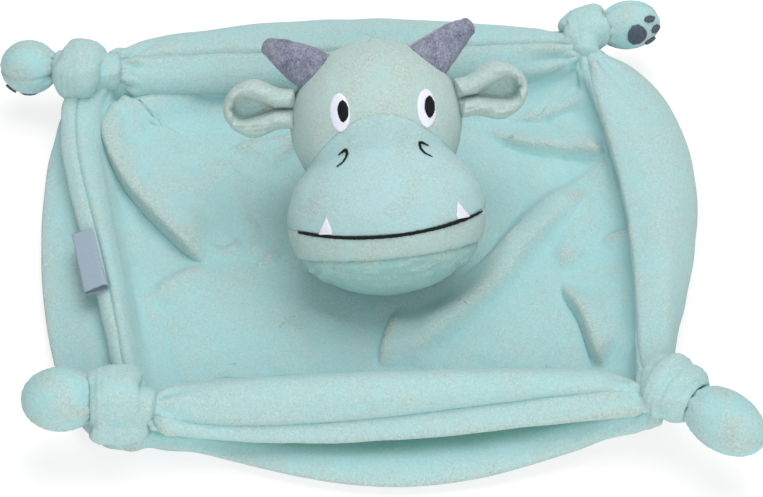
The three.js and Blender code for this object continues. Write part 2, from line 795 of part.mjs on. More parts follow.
// A point of the face at a place seen from the front, lifted off it, found by halving the distance.
function facePoint(x, z, lift) {
  let near = 0;
  let far = BEYOND;
  while (far - near > FACE_PRECISION) {
    const depth = (near + far) / 2;
    const point = vec(x, -depth, z);
    const reach = headReach(point.clone().normalize());
    if (point.length() < reach + lift) {
      near = depth;
    } else {
      far = depth;
    }
  }
  return vec(x, -near, z);
}

// Height of a face seam at a place across the face.
function seamHeight(seam, x) {
  return seam.middle + seam.rise * (x / seam.half) ** 2;
}

// A thin curved knife along a face seam, from in front of the face to the side seam.
function seamKnife(seam) {
  const rings = [];
  for (let step = 0; step <= KNIFE.steps; step += 1) {
    const x = KNIFE.reach * (2 * (step / KNIFE.steps) - 1);
    const z = seamHeight(seam, x);
    rings.push([
      vec(x, -KNIFE.reach, z - GAP / 2),
      vec(x, SIDE_SEAM_Y, z - GAP / 2),
      vec(x, SIDE_SEAM_Y, z + GAP / 2),
      vec(x, -KNIFE.reach, z + GAP / 2),
    ]);
  }
  return toSolid(loft(rings));
}

// A box between two corners.
function box(low, high) {
  const size = high.clone().sub(low);
  const middle = high.clone().add(low).multiplyScalar(0.5);
  return toSolid(new THREE.BoxGeometry(size.x, size.y, size.z).translate(middle.x, middle.y, middle.z));
}

// Name of the cover's panel that a cut piece is, from where it lies between the seams.
function panelName(low, high) {
  if ((low[1] + high[1]) / 2 > SIDE_SEAM_Y) {
    return low[0] + high[0] < 0 ? 'head_back_left_panel' : 'head_back_right_panel';
  }
  const tops = [
    ['head_jaw_panel', (CHIN_SEAM.middle + MOUTH_SEAM.middle) / 2],
    ['head_chin_band', (MOUTH_SEAM.middle + CROWN_SEAM.middle) / 2],
    ['head_muzzle_panel', CROWN_SEAM.middle + GAP],
    ['head_crown_panel', BEYOND],
  ];
  return tops.find(([, top]) => high[2] < top)[0];
}

// The six panels of the head's cover.
function headPanels() {
  let cover = toSolid(headBall(0, HEAD_GRID)).subtract(toSolid(headBall(HEAD.wall, HEAD_INNER_GRID)));
  for (const seam of [CROWN_SEAM, MOUTH_SEAM, CHIN_SEAM]) {
    cover = cover.subtract(seamKnife(seam));
  }
  const half = GAP / 2;
  const ends = [vec(-BEYOND, SIDE_SEAM_Y - half, -BEYOND), vec(BEYOND, SIDE_SEAM_Y + half, BEYOND)];
  cover = cover.subtract(box(...ends));
  cover = cover.subtract(box(vec(-half, SIDE_SEAM_Y, -BEYOND), vec(half, BEYOND, BEYOND)));
  const panels = new Map();
  for (const body of cover.decompose()) {
    const bounds = body.boundingBox();
    const name = panelName(bounds.min, bounds.max);
    const kept = panels.get(name);
    if (!kept || body.volume() > kept.volume()) {
      panels.set(name, body);
    }
  }
  const finishes = { head_muzzle_panel: 'muzzle', head_jaw_panel: 'jaw' };
  return [...panels].map(([name, body]) => piece(name, toGeometry(body), finishes[name] ?? 'crown'));
}

// The head's filling, with a pocket that opens at the back for the squeaker.
function headInside() {
  const { radius, height, bevel, wall, seat, steps } = SQUEAKER;
  const from = vec(0, seat, 0);
  const towards = vec(0, BEYOND, 0);
  const mouth = REED.radius + GAP;
  const collar = REED.radius + REED.collar;
  const pocket = turned([
    [0, -GAP], [radius + GAP, -GAP], [radius + GAP, height + REED.room],
    [mouth, height + REED.room + bevel], [mouth, BEYOND], [0, BEYOND],
  ], from, towards, steps);
  const bulb = turned([
    [0, 0], [radius - bevel, 0], [radius, bevel], [radius, height - bevel], [radius - bevel, height],
    [mouth, height], [mouth, height - wall], [radius - bevel, height - wall],
    [radius - wall, height - bevel], [radius - wall, bevel], [radius - bevel, wall], [0, wall],
  ], from, towards, steps);
  const reed = turned([
    [0, height - REED.depth], [REED.radius, height - REED.depth], [REED.radius, height + GAP],
    [collar, height + GAP], [collar, height + GAP + REED.collarHeight],
    [0, height + GAP + REED.collarHeight],
  ], from, towards, steps);
  const filling = toSolid(headBall(HEAD.wall + GAP, HEAD_INNER_GRID)).subtract(toSolid(pocket));
  return [
    piece('head_filling', toGeometry(largest(filling)), 'filling'),
    piece('squeaker_bulb', bulb, 'plastic'),
    piece('squeaker_reed', reed, 'plastic'),
  ];
}

// One oval ring of a horn.
function hornRing(place, direction, radius) {
  const across = direction.clone().cross(vec(0, 1, 0)).normalize();
  const upward = direction.clone().cross(across).normalize();
  return Array.from({ length: HORN.steps }, (_, i) => {
    const angle = 2 * Math.PI * (i / HORN.steps);
    const point = place.clone().addScaledVector(across, radius * Math.cos(angle));
    return point.addScaledVector(upward, HORN.flatness * radius * Math.sin(angle));
  });
}

// A blunt, slightly curved horn that seats on the head.
function horn(side, headGrown) {
  const points = [HORN.base, HORN.bend, HORN.tip].map((point) => point.clone().multiply(vec(side, 1, 1)));
  const curve = new THREE.QuadraticBezierCurve3(...points);
  const steps = HORN.radii.length - 1;
  const first = curve.getTangent(0);
  const last = curve.getTangent(1);
  const blunt = HORN.radii[steps];
  const inside = curve.getPoint(0).addScaledVector(first, -HORN.sink);
  const end = curve.getPoint(1).addScaledVector(last, blunt * HORN.tipLength);
  const along = HORN.radii.map((radius, i) => (
    hornRing(curve.getPoint(i / steps), curve.getTangent(i / steps), radius)
  ));
  const rings = [
    hornRing(inside, first, HORN.radii[0]),
    ...along,
    hornRing(end, last, blunt * HORN.tipWidth),
  ];
  return toGeometry(largest(toSolid(loft(rings)).subtract(headGrown)));
}

// The frame of an ear: from its root on the side of the head outward, with its hollow to the front.
function earFrame(side) {
  const toRoot = EAR.root.clone().multiply(vec(side, 1, 1)).normalize();
  const root = toRoot.multiplyScalar(headReach(toRoot) + GAP);
  const outward = vec(Math.cos(radians(EAR.rise)) * side, 0, Math.sin(radians(EAR.rise)));
  const back = vec(0, 1, 0);
  const up = outward.clone().cross(back).multiplyScalar(side).normalize();
  return new THREE.Matrix4().makeBasis(outward, back, up).setPosition(root);
}

// A leaf-shaped swelling that narrows to the ear's root, from its half sizes, its shift and the share
// of its height at the root.
function earLeaf(half, shift, root) {
  const ball = unitBall(EAR_GRID);
  reshape(ball, (p) => {
    const swell = THREE.MathUtils.smoothstep((p.x + 1) / 2, ...EAR.pinchEnds);
    const across = Math.max(Math.hypot(p.y, p.z), EAR.flatRoot);
    const point = vec(
      EAR.halfLength + p.x * half.x,
      p.y * half.y * THREE.MathUtils.lerp(EAR.pinch, 1, swell),
      p.z * half.z * THREE.MathUtils.lerp(root / across, 1, swell),
    );
    return point.add(shift);
  });
  return toSolid(ball);
}

// Places a part of an ear, turned inside in again where the frame mirrors it.
function placeEar(solid, frame) {
  const geometry = toGeometry(solid).applyMatrix4(frame);
  if (frame.determinant() < 0) {
    const index = geometry.index.array;
    for (let i = 0; i < index.length; i += 3) {
      [index[i], index[i + 1]] = [index[i + 1], index[i]];
    }
  }
  return geometry;
}

// The padded outer ear and the lining in its hollow.
function ear(side, name) {
  const frame = earFrame(side);
  const hollow = (inset) => earLeaf(
    vec(EAR.hollowHalfLength - inset, EAR.halfDepth - inset, EAR.hollowHalfHeight - inset),
    vec(EAR.hollowAhead, -EAR.cup, 0),
    EAR.hollowPinch,
  );
  const half = vec(EAR.halfLength - GAP, EAR.halfDepth, EAR.halfHeight);
  const outer = earLeaf(half, vec(0, 0, 0), EAR.rootPinch).subtract(hollow(0));
  const front = box(vec(-BEYOND, -BEYOND, -BEYOND), vec(BEYOND, -EAR.liningFront, BEYOND));
  const lining = hollow(GAP).subtract(hollow(GAP + EAR.lining)).subtract(front);
  return [
    piece(`ear_${name}_outer`, placeEar(largest(outer), frame), 'crown'),
    piece(`ear_${name}_inner`, placeEar(largest(lining), frame), 'blanket'),
  ];
}

// A strip of stitching along a line of places on the face, narrow at its ends.
function stitchLine(places, width, low) {
  const rings = places.map(([x, z], i) => {
    const [ax, az] = places[Math.max(0, i - 1)];
    const [bx, bz] = places[Math.min(places.length - 1, i + 1)];
    const length = Math.hypot(bx - ax, bz - az);
    const half = (i === 0 || i === places.length - 1 ? width / 2 : width) / 2;
    const [nx, nz] = [(-half * (bz - az)) / length, (half * (bx - ax)) / length];
    return [
      facePoint(x + nx, z + nz, low),
      facePoint(x + nx, z + nz, low + STITCH),
      facePoint(x - nx, z - nz, low + STITCH),
      facePoint(x - nx, z - nz, low),
    ];
  });
  return loft(rings);
}

// One eye: the white oval and the pupil on it.
function eye(name) {
  const [x, above] = EYES[name];
  const z = seamHeight(CROWN_SEAM, x) + above;
  const [px, pz] = [x + EYE.shift[0], z + EYE.shift[1]];
  const white = oval(x, z, ...EYE.white, EYE.steps);
  const pupil = oval(px, pz, ...EYE.pupil, EYE.pupilSteps);
  const low = 2 * GAP + STITCH;
  return [
    piece(`eye_white_${name}`, patch(white, facePoint, GAP, GAP + STITCH, [x, z]), 'white'),
    piece(`pupil_${name}`, patch(pupil, facePoint, low, low + STITCH, [px, pz]), 'black'),
  ];
}

// One nostril: a hooked line of stitching.
function nostril(side, name) {
  const hook = new THREE.CatmullRomCurve3(NOSTRIL.hook.map(([x, z]) => vec(side * x, 0, z)));
  const places = hook.getPoints(NOSTRIL.steps).map((p) => [p.x, p.z]);
  return piece(`nostril_${name}`, stitchLine(places, NOSTRIL.width, GAP + NOSTRIL.lift), 'black');
}

// One tooth, standing on the mouth.
function tooth(name) {
  const at = TOOTH[name];
  const base = (x) => seamHeight(MOUTH_SEAM, x) + MOUTH.width / 2 + 1.5 * GAP;
  const outline = TOOTH_OUTLINE.map(([across, up]) => {
    const x = at + across * TOOTH.halfWidth;
    return [x, base(x) + up * TOOTH.height];
  });
  const centre = [at, base(at) + TOOTH.height * TOOTH.centre];
  return piece(`tooth_${name}`, patch(outline, facePoint, GAP, GAP + STITCH, centre), 'white');
}

// The stitched line of the mouth, along its seam.
function mouthLine() {
  const places = Array.from({ length: MOUTH.steps + 1 }, (_, i) => {
    const x = THREE.MathUtils.lerp(MOUTH.left, MOUTH.right, i / MOUTH.steps);
    return [x, seamHeight(MOUTH_SEAM, x)];
  });
  return piece('mouth_line', stitchLine(places, MOUTH.width, GAP), 'black');
}

// The stitched ring that holds the nape to the blanket.
function neckSeam() {
  const ring = new THREE.TorusGeometry(NECK.radius, NECK.bead, NECK.beadSteps, NECK.steps);
  return piece('neck_seam', ring.translate(NECK.x, NECK.y, BLANKET_TOP_Z + GAP + NECK.bead), 'blanket');
}

// Assembly

const toy = new THREE.Group();

const knotCutters = CORNERS.map((corner) => (
  knotSolid(corner, KNOT.clear, KNOT.cutSteps, KNOT.cutWrapSteps)
));
toy.add(piece('blanket_top_panel', toGeometry(blanketPanel(true, knotCutters)), 'blanket'));
toy.add(piece('blanket_back_panel', toGeometry(blanketPanel(false, knotCutters)), 'blanket'));
toy.add(piece('label_loop', labelLoop(), 'label'), neckSeam());

for (const corner of CORNERS) {
  toy.add(piece(`knot_${corner.name}`, toGeometry(knot(corner)), 'blanket'));
  toy.add(piece(`paw_${corner.name}_cover`, pawShell(corner), 'blanket'));
  toy.add(piece(`paw_${corner.name}_filling`, pawFilling(corner), 'filling'));
  toy.add(...pawPads(corner));
}

const head = new THREE.Group();
head.applyMatrix4(headFrame());
head.add(...headPanels(), ...headInside(), mouthLine());
const headGrown = toSolid(headBall(-GAP, HEAD_GRID));
for (const [name, side] of [['left', -1], ['right', 1]]) {
  head.add(...eye(name), nostril(side, name), tooth(name));
  head.add(piece(`horn_${name}`, horn(side, headGrown), 'horn'), ...ear(side, name));
}
toy.add(head);

export default toy;
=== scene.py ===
"""Dressed model of a plush comforter toy: a double blanket with four knotted corners, a stuffed paw on
each corner and a stuffed dragon head sewn on the middle.

Sizes are in millimetres in the toy's own frame, and each mesh is scaled to metres as it is made. +X is the
viewer's right, -Y the front and +Z up.
"""

from __future__ import annotations

import logging
import math
from dataclasses import dataclass
from enum import Enum

import bmesh
import bpy
import numpy as np
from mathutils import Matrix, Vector


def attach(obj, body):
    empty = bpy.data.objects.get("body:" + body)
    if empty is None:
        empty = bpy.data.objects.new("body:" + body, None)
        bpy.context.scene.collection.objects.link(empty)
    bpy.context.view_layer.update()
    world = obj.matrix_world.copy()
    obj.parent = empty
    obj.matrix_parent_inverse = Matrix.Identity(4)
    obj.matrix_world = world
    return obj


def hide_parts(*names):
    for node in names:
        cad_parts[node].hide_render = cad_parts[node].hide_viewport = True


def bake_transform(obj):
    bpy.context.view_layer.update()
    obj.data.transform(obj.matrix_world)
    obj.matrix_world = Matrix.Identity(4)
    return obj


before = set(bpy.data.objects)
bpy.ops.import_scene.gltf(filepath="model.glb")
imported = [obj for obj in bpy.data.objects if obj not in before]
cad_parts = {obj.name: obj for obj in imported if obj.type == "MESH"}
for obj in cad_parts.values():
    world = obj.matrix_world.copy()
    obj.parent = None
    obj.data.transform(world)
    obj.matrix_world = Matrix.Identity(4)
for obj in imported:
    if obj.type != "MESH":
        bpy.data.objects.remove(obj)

Array = np.ndarray
Mesh = bpy.types.Mesh
Pair = tuple[float, float]
Triple = tuple[float, float, float]
Line = tuple[Pair, ...]
Skin = tuple[Array, list[Array]]
Values = dict[str, object]

LOG = logging.getLogger("comforter")
MM = 0.001
UP = np.array([0.0, 0.0, 1.0])
WHITE = (1.0, 1.0, 1.0, 1.0)
SIGNS = {"left": -1, "right": 1}
# the deepest painted shade that the pile attribute holds
DEEPEST_SHADE = -1.3


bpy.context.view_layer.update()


# Vectors and curves


def unit(vectors: Array) -> Array:
    """Gives vectors of length 1 along the last axis."""
    return vectors / np.maximum(np.linalg.norm(vectors, axis=-1, keepdims=True), 1e-12)


def lerp(a: Array | float, b: Array | float, share: Array | float) -> Array:
    """Blends from a to b by a share."""
    return a + (b - a) * share


def smoothstep(values: Array, low: float, high: float) -> Array:
    """Rises smoothly from 0 at low to 1 at high."""
    share = np.clip((values - low) / (high - low), 0.0, 1.0)
    return share * share * (3.0 - 2.0 * share)


def bell(distance: Array, width: float | Array) -> Array:
    """Falls off smoothly from 1 at a distance of 0, over a width to each side."""
    return np.exp(-((distance / width) ** 2))


def arch(place: Array) -> Array:
    """Gives the height of a half circle of radius 1 over each place, and 0 beyond its ends."""
    return np.sqrt(np.maximum(0, 1 - place ** 2))


def square_to(axis: Array) -> tuple[Array, Array]:
    """Gives a level unit vector square to an axis, and the one square to both."""
    side = unit(np.cross(axis, UP))
    return side, np.cross(side, axis)


def around(count: int) -> Array:
    """Gives even angles round a circle, in radians."""
    return np.linspace(0, 2 * math.pi, count, endpoint=False)


def turn_about(vectors: Array, axis: Array, angles: Array | float) -> Array:
    """Turns vectors about a unit axis, each by its angle in radians."""
    cosine, sine = np.cos(angles)[..., None], np.sin(angles)[..., None]
    along = (vectors @ axis)[..., None]
    return vectors * cosine + np.cross(axis, vectors) * sine + axis * along * (1.0 - cosine)


def catmull_rom(points: Array, places: Array) -> Array:
    """Samples centripetal curves through points.

    Args:
        points: the curves' points, with the point's number first and x, y, z last.
        places: where to sample, from 0 at the first point to 1 at the last.

    Returns:
        The samples, with the place's number first.
    """
    spans = len(points) - 1
    padded = np.concatenate([2 * points[:1] - points[1:2], points, 2 * points[-1:] - points[-2:-1]])
    position = np.clip(places, 0.0, 1.0) * spans
    first = np.minimum(position.astype(int), spans - 1)
    weight = (position - first).reshape((-1,) + (1,) * (points.ndim - 1))
    a, b, c, d = (padded[first + k] for k in range(4))

    def step(p: Array, q: Array) -> Array:
        """Gives the centripetal step between two points."""
        return np.maximum(np.sqrt(np.linalg.norm(q - p, axis=-1, keepdims=True)), 1e-4)

    ab, bc, cd = step(a, b), step(b, c), step(c, d)
    leave = ((b - a) / ab - (c - a) / (ab + bc) + (c - b) / bc) * bc
    reach = ((c - b) / bc - (d - b) / (bc + cd) + (d - c) / cd) * bc
    square = 3 * (c - b) - 2 * leave - reach
    cube = 2 * (b - c) + leave + reach
    return b + weight * (leave + weight * (square + weight * cube))


class Ripple:
    """Smooth random waves in space, the same on each run."""

    def __init__(self, seed: int, size: float, waves: int = 28) -> None:
        """Draws the waves.

        Args:
            seed: picks the waves.
            size: the usual length of a wave, in the units of the points.
            waves: how many waves are summed.
        """
        draw = np.random.default_rng(seed)
        lengths = size * draw.uniform(0.7, 1.6, (waves, 1))
        self.waves = unit(draw.normal(size=(waves, 3))) * (2 * math.pi / lengths)
        self.phases = draw.uniform(0, 2 * math.pi, waves)

    def at(self, points: Array) -> Array:
        """Gives the height at each point, mostly between -1 and 1."""
        total = np.zeros(points.shape[:-1])
        for wave, phase in zip(self.waves, self.phases):
            total += np.sin(points @ wave + phase)
        return total / math.sqrt(len(self.phases))


def line_field(places: Array, line: Array) -> tuple[Array, Array, Array]:
    """Measures places against a line on the floor.

    Args:
        places: x and y of each place.
        line: x and y of each point of the line.

    Returns:
        The distance, positive on the right of the line, the share of the way along the line, and the
        direction to the right of the line there.
    """
    best = np.full(len(places), np.inf)
    signed, share = np.zeros(len(places)), np.zeros(len(places))
    right = np.zeros((len(places), 2))
    lengths = np.linalg.norm(np.diff(line, axis=0), axis=1)
    starts = np.concatenate([[0.0], np.cumsum(lengths)])
    for i, length in enumerate(lengths):
        along = (line[i + 1] - line[i]) / length
        aside = np.array([along[1], -along[0]])
        offset = places - line[i]
        run = np.clip(offset @ along, 0.0, length)
        gap = np.linalg.norm(offset - run[:, None] * along, axis=1)
        closer = gap < best
        best[closer] = gap[closer]
        signed[closer] = (np.where(offset @ aside < 0, -gap, gap))[closer]
        share[closer] = ((starts[i] + run) / starts[-1])[closer]
        right[closer] = aside
    return signed, share, right


def evened(ring: Array, width: float) -> Array:
    """Smooths a closed ring of points over a width in points."""
    count = len(ring)
    reach = np.minimum(np.arange(count), count - np.arange(count))
    weights = np.exp(-0.5 * (reach / width) ** 2)
    weights /= weights.sum()
    mixed = np.fft.ifft(np.fft.fft(ring, axis=0) * np.fft.fft(weights)[:, None], axis=0)
    return mixed.real


def fanned(ring: Array, centre: Array, width: float) -> Array:
    """Spreads a closed ring of points so that it goes steadily round its middle."""
    count = len(ring)
    shift = count // 8
    rolled = np.roll(ring, -shift, axis=0)
    offset = rolled[:, :2] - centre[:2]
    angle = np.unwrap(np.arctan2(offset[:, 1], offset[:, 0]))
    order = np.argsort(angle, kind="stable")
    trend = angle[0] + 2 * math.pi * np.arange(count) / count
    polar = np.stack([angle[order] - trend, np.hypot(*offset.T)[order], rolled[order, 2]], -1)
    turn, reach, height = evened(polar, width).T
    turn = turn + trend
    spread = np.stack([centre[0] + reach * np.cos(turn), centre[1] + reach * np.sin(turn), height], -1)
    return np.roll(spread, shift, axis=0)


# Meshes


def grid_faces(rows: int, columns: int, round_it: bool, flip: bool = False, first: int = 0) -> Array:
    """Gives the quads of a grid of points.

    Args:
        rows: number of rows of points.
        columns: number of points in a row.
        round_it: whether each row closes on itself.
        flip: whether the faces turn the other way.
        first: index of the grid's first point.

    Returns:
        The quads, one a row.
    """
    across = np.arange(columns if round_it else columns - 1)
    down = np.arange(rows - 1)[:, None] * columns
    after = (across + 1) % columns
    quads = np.stack([down + across, down + after, down + columns + after, down + columns + across], -1)
    quads = quads.reshape(-1, 4) + first
    return quads[:, ::-1] if flip else quads


def grid_normals(grid: Array) -> Array:
    """Gives unit normals of a grid whose rows close on themselves."""
    down = np.gradient(grid, axis=0)
    across = np.roll(grid, -1, axis=1) - np.roll(grid, 1, axis=1)
    return unit(np.cross(down, across))


def crests(grid: Array, normals: Array, window: int) -> Array:
    """Measures how far each point of a grid stands out from those around it, in millimetres."""
    smooth = grid.copy()
    for _ in range(window):
        padded = np.concatenate([smooth[:1], smooth, smooth[-1:]])
        rows = (padded[:-2] + padded[2:]) / 2
        columns = (np.roll(smooth, 1, axis=1) + np.roll(smooth, -1, axis=1)) / 2
        smooth = (smooth * 2 + rows + columns) / 4
    return ((grid - smooth) * normals).sum(-1)


def standing_out(mesh: Mesh, rounds: int) -> Array:
    """Measures how far each of a mesh's points stands out from those around it, in millimetres."""
    points, normals = mesh_points(mesh), mesh_normals(mesh)
    edges = np.zeros(2 * len(mesh.edges), dtype=np.int32)
    mesh.edges.foreach_get("vertices", edges)
    a, b = edges.reshape(-1, 2).T
    counts = np.bincount(a, minlength=len(points)) + np.bincount(b, minlength=len(points))
    smooth = points.copy()
    for _ in range(rounds):
        sums = [np.bincount(a, smooth[b, k], len(points)) + np.bincount(b, smooth[a, k], len(points))
                for k in range(3)]
        smooth = lerp(smooth, np.stack(sums, -1) / counts[:, None], 0.7)
    return ((points - smooth) * normals).sum(-1)


def slab(top: Array, low: Array, round_it: bool) -> Skin:
    """Closes the space between two grids of points.

    Args:
        top: the upper grid, rows by columns by 3.
        low: the lower grid, of the same size.
        round_it: whether each row closes on itself.

    Returns:
        The points, and the faces.
    """
    rows, columns = top.shape[:2]
    half = rows * columns
    points = np.concatenate([top.reshape(-1, 3), low.reshape(-1, 3)])
    faces = [grid_faces(rows, columns, round_it), grid_faces(rows, columns, round_it, True, half)]
    across = np.arange(columns if round_it else columns - 1)
    rims = [(row * columns + across, row * columns + (across + 1) % columns, flip)
            for row, flip in ((0, False), (rows - 1, True))]
    if not round_it:
        down = np.arange(rows - 1) * columns
        rims += [(down + column, down + columns + column, flip)
                 for column, flip in ((0, True), (columns - 1, False))]
    for start, end, flip in rims:
        wall = np.stack([start, half + start, half + end, end], -1)
        faces.append(wall[:, ::-1] if flip else wall)
    return points, faces


def hub_faces(first: int, columns: int, hub: int, flip: bool = False) -> Array:
    """Gives the triangles from a closed row of points to the point at its hub."""
    step = np.arange(columns)
    after = (step + 1) % columns
    a, b = (step, after) if flip else (after, step)
    return np.stack([first + a, first + b, np.full(columns, hub)], -1)


def capped(rings: Array, start: Array, end: Array) -> Skin:
    """Closes a skin of rings with a hub at each end.

    Args:
        rings: the points of each ring, rows by columns by 3.
        start: the point at the middle of the first ring.
        end: the point at the middle of the last ring.

    Returns:
        The points, and the faces.
    """
    rows, columns = rings.shape[:2]
    hub = rows * columns
    points = np.concatenate([rings.reshape(-1, 3), start[None], end[None]])
    return points, [
        grid_faces(rows, columns, True),
        hub_faces(0, columns, hub),
        hub_faces(hub - columns, columns, hub + 1, True),
    ]


def triangle_edges(triangles: Array) -> Array:
    """Gives the three edges of each triangle, in the way that they go round it."""
    return np.concatenate([triangles[:, pair] for pair in ([0, 1], [1, 2], [2, 0])])


def make_mesh(name: str, points: Array, faces: list[Array], flip: bool = False) -> Mesh:
    """Makes a smooth mesh in metres from points in millimetres, and turns its faces over on a flip."""
    mesh = bpy.data.meshes.new(name)
    way = -1 if flip else 1
    mesh.from_pydata((points * MM).tolist(), [], [f for block in faces for f in block[:, ::way].tolist()])
    mesh.polygons.foreach_set("use_smooth", [True] * len(mesh.polygons))
    mesh.update()
    return mesh


def linked(name: str, data: bpy.types.ID) -> bpy.types.Object:
    """Adds an object with that mesh, lamp or camera to the scene."""
    obj = bpy.data.objects.new(name, data)
    bpy.context.scene.collection.objects.link(obj)
    return obj


def set_nap_and_shade(mesh: Mesh, values: Array | float) -> None:
    """Writes the pile and painted light at each vertex: brushed up and paler at 1, flat at 0, and painted
    shade in a deeper colour below 0.
    """
    attribute = mesh.attributes.new("nap_and_shade", "FLOAT", "POINT")
    own = np.clip(values, DEEPEST_SHADE, 1) + np.zeros(len(mesh.vertices))
    attribute.data.foreach_set("value", own.astype(np.float32))


def read_rows(items: bpy.types.bpy_prop_collection, field: str) -> Array:
    """Reads x, y and z of a field of each item."""
    flat = np.empty(len(items) * 3)
    items.foreach_get(field, flat)
    return flat.reshape(-1, 3)


def mesh_points(mesh: Mesh) -> Array:
    """Reads a mesh's vertices in millimetres."""
    return read_rows(mesh.vertices, "co") / MM


def mesh_normals(mesh: Mesh) -> Array:
    """Reads the normals of a mesh's vertices."""
    return read_rows(mesh.vertex_normals, "vector")


def move_points(mesh: Mesh, points: Array) -> None:
    """Writes a mesh's vertices from millimetres."""
    mesh.vertices.foreach_set("co", (points * MM).ravel())
    mesh.update()


def fused(name: str, parts: list[Skin], voxel: float, rounds: int) -> Mesh:
    """Joins closed skins into one, with softened creases where they meet.

    Args:
        name: the mesh's name.
        parts: points and faces of each closed skin.
        voxel: size of the grid that joins them, in millimetres.
        rounds: how often the result is smoothed.

    Returns:
        The joined mesh.
    """
    points, faces, first = [], [], 0
    for part_points, part_faces in parts:
        points.append(part_points)
        faces.extend(block + first for block in part_faces)
        first += len(part_points)
    source = linked(name, make_mesh(name, np.concatenate(points), faces))
    remesh = source.modifiers.new("join", "REMESH")
    remesh.mode = "VOXEL"
    remesh.voxel_size = voxel * MM
    smooth = source.modifiers.new("soften", "SMOOTH")
    smooth.factor = 0.5
    smooth.iterations = rounds
    graph = bpy.context.evaluated_depsgraph_get()
    joined = bpy.data.meshes.new_from_object(source.evaluated_get(graph))
    old = source.data
    bpy.data.objects.remove(source)
    bpy.data.meshes.remove(old)
    joined.name = name
    joined.polygons.foreach_set("use_smooth", [True] * len(joined.polygons))
    return joined


# Shader nodes


def linear(code: str) -> tuple[float, ...]:
    """Turns a web colour such as aed3d4 into the numbers that a shader takes."""
    channels = [int(code[i:i + 2], 16) / 255 for i in (0, 2, 4)]
    line = [c / 12.92 if c <= 0.04045 else ((c + 0.055) / 1.055) ** 2.4 for c in channels]
    return (line[0], line[1], line[2], 1.0)


class Socket:
    """A value in a material's nodes: arithmetic on it adds the nodes."""

    def __init__(self, graph: Graph, link: bpy.types.NodeSocket) -> None:
        """Wraps an output of a node."""
        self.graph = graph
        self.link = link

    def __add__(self, other: Socket | float) -> Socket:
        """Adds a value."""
        return self.graph.math("ADD", self, other)

    def __radd__(self, other: float) -> Socket:
        """Adds this to a number."""
        return self.graph.math("ADD", other, self)

    def __sub__(self, other: Socket | float) -> Socket:
        """Takes a value away."""
        return self.graph.math("SUBTRACT", self, other)

    def __rsub__(self, other: float) -> Socket:
        """Takes this away from a number."""
        return self.graph.math("SUBTRACT", other, self)

    def __mul__(self, other: Socket | float) -> Socket:
        """Multiplies by a value."""
        return self.graph.math("MULTIPLY", self, other)

    def __rmul__(self, other: float) -> Socket:
        """Multiplies a number by this."""
        return self.graph.math("MULTIPLY", other, self)

    def clamped(self) -> Socket:
        """Keeps the value between 0 and 1."""
        return self.graph.math("ADD", self, 0.0, use_clamp=True)


